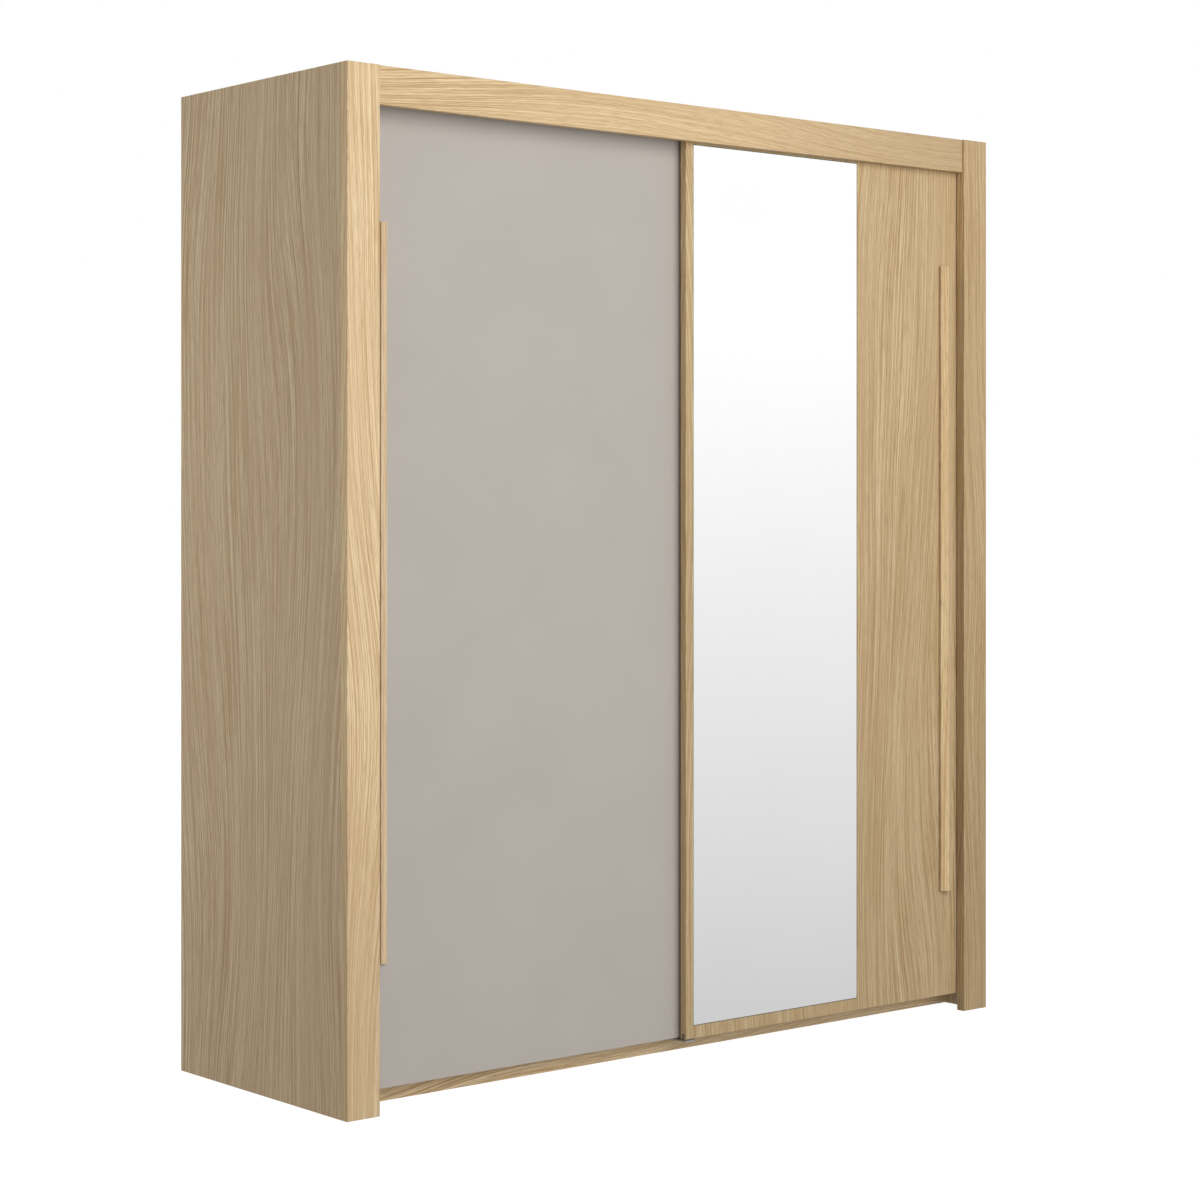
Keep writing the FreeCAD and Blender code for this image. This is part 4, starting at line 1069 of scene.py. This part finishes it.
# ---------------- stage
class WARDROBE_OT_stage(Operator):
    """Set the camera, the white paper floor and the soft studio light"""

    bl_idname = "wardrobe.stage"
    bl_label = "Stage"
    bl_options = {"REGISTER", "UNDO"}

    def execute(self, context):
        stage = context.scene.wardrobe_stage
        self.camera(context, stage)
        self.floor(stage)
        self.lamp("Key", stage.key_power, stage.key_place, stage.key_size)
        self.lamp("Fill", stage.fill_power, stage.fill_place, stage.fill_size)
        self.lamp("Back", stage.back_power, stage.back_place, stage.back_size)
        self.world(context, stage)
        context.scene.view_settings.view_transform = "Standard"
        return {"FINISHED"}

    def camera(self, context, stage):
        data = bpy.data.cameras.new("Camera")
        data.lens = stage.focal_length
        data.shift_y = stage.camera_drop
        data.clip_end = 300
        camera = placed("Camera", data)
        camera.location = stage.camera_place
        camera.rotation_euler = (math.pi / 2, 0, stage.camera_heading)
        context.scene.camera = camera

    def floor(self, stage):
        half = stage.floor_size / 2
        shape = bmesh.new()
        corners = ((-half, -half), (half, -half), (half, half), (-half, half))
        shape.faces.new([shape.verts.new((x, y, 0)) for x, y in corners])
        paper = Finish(
            "Paper floor", Roughness=0.9, Specular_IOR_Level=0.0, Base_Color=(0.3, 0.3, 0.3, 1),
            Emission_Color=(1, 1, 1, 1), Emission_Strength=stage.floor_glow,
        )
        floor = placed("studio_floor", finished_mesh("studio_floor", shape, paper.material))
        floor.visible_diffuse = False
        floor.visible_glossy = False

    def lamp(self, name, power, place, size):
        """A square soft lamp that looks at the middle of the wardrobe and shows in no reflection."""
        data = bpy.data.lights.new(name, "AREA")
        data.energy = power
        data.size = size
        lamp = placed(name, data)
        lamp.location = place
        aim = Vector((0, 0, (cad_low.z + cad_high.z) / 2)) - lamp.location
        lamp.rotation_euler = aim.to_track_quat("-Z", "Y").to_euler()
        lamp.visible_glossy = False

    def world(self, context, stage):
        """White behind everything, an even ambient light, and a soft fade for what mirrors show."""
        world = bpy.data.worlds.new("Studio")
        world.use_nodes = True
        graph = Graph(world.node_tree)
        sky = graph.add("ShaderNodeTexCoord").outputs["Generated"]
        height = graph.add("ShaderNodeSeparateXYZ", {0: sky}).outputs[2]
        fade = graph.remap(height, -0.30, 0.06, stage.mirror_low, stage.mirror_high)
        path = graph.add("ShaderNodeLightPath").outputs
        lit = graph.times(graph.minus(1.0, path["Is Glossy Ray"]), stage.ambient)
        seen = graph.plus(lit, graph.times(path["Is Glossy Ray"], fade))
        strength = graph.math("MAXIMUM", seen, path["Is Camera Ray"])
        background = world.node_tree.nodes["Background"].inputs
        graph.join(strength, background["Strength"])
        background["Color"].default_value = (1, 1, 1, 1)
        context.scene.world = world


STEPS = (
    WARDROBE_OT_stage,
    WARDROBE_OT_outer_boards,
    WARDROBE_OT_inner_boards,
    WARDROBE_OT_doors,
    WARDROBE_OT_mirror,
    WARDROBE_OT_track,
    WARDROBE_OT_wheels,
    WARDROBE_OT_screws,
    WARDROBE_OT_joinery,
    WARDROBE_OT_shelf_pins,
    WARDROBE_OT_fittings,
)


class WARDROBE_PT_build(Panel):
    """Every step of the wardrobe, in the order that it is built."""

    bl_idname = "WARDROBE_PT_build"
    bl_label = "Wardrobe"
    bl_space_type = "VIEW_3D"
    bl_region_type = "UI"
    bl_category = "Wardrobe"

    def draw(self, context):
        for step in STEPS:
            self.layout.operator(step.bl_idname)


CLASSES = (WardrobeFinishes, WardrobeHardware, WardrobeStage, *STEPS, WARDROBE_PT_build)
GROUPS = {
    "wardrobe_finishes": WardrobeFinishes,
    "wardrobe_hardware": WardrobeHardware,
    "wardrobe_stage": WardrobeStage,
}


def register():
    for cls in CLASSES:
        bpy.utils.register_class(cls)
    for name, group in GROUPS.items():
        setattr(Scene, name, PointerProperty(type=group))


def unregister():
    for name in GROUPS:
        delattr(Scene, name)
    for cls in reversed(CLASSES):
        bpy.utils.unregister_class(cls)


def main():
    """Builds the wardrobe step by step."""
    register()
    for step in STEPS:
        group, name = step.bl_idname.split(".")
        getattr(getattr(bpy.ops, group), name)()


if __name__ == "__main__":
    main()
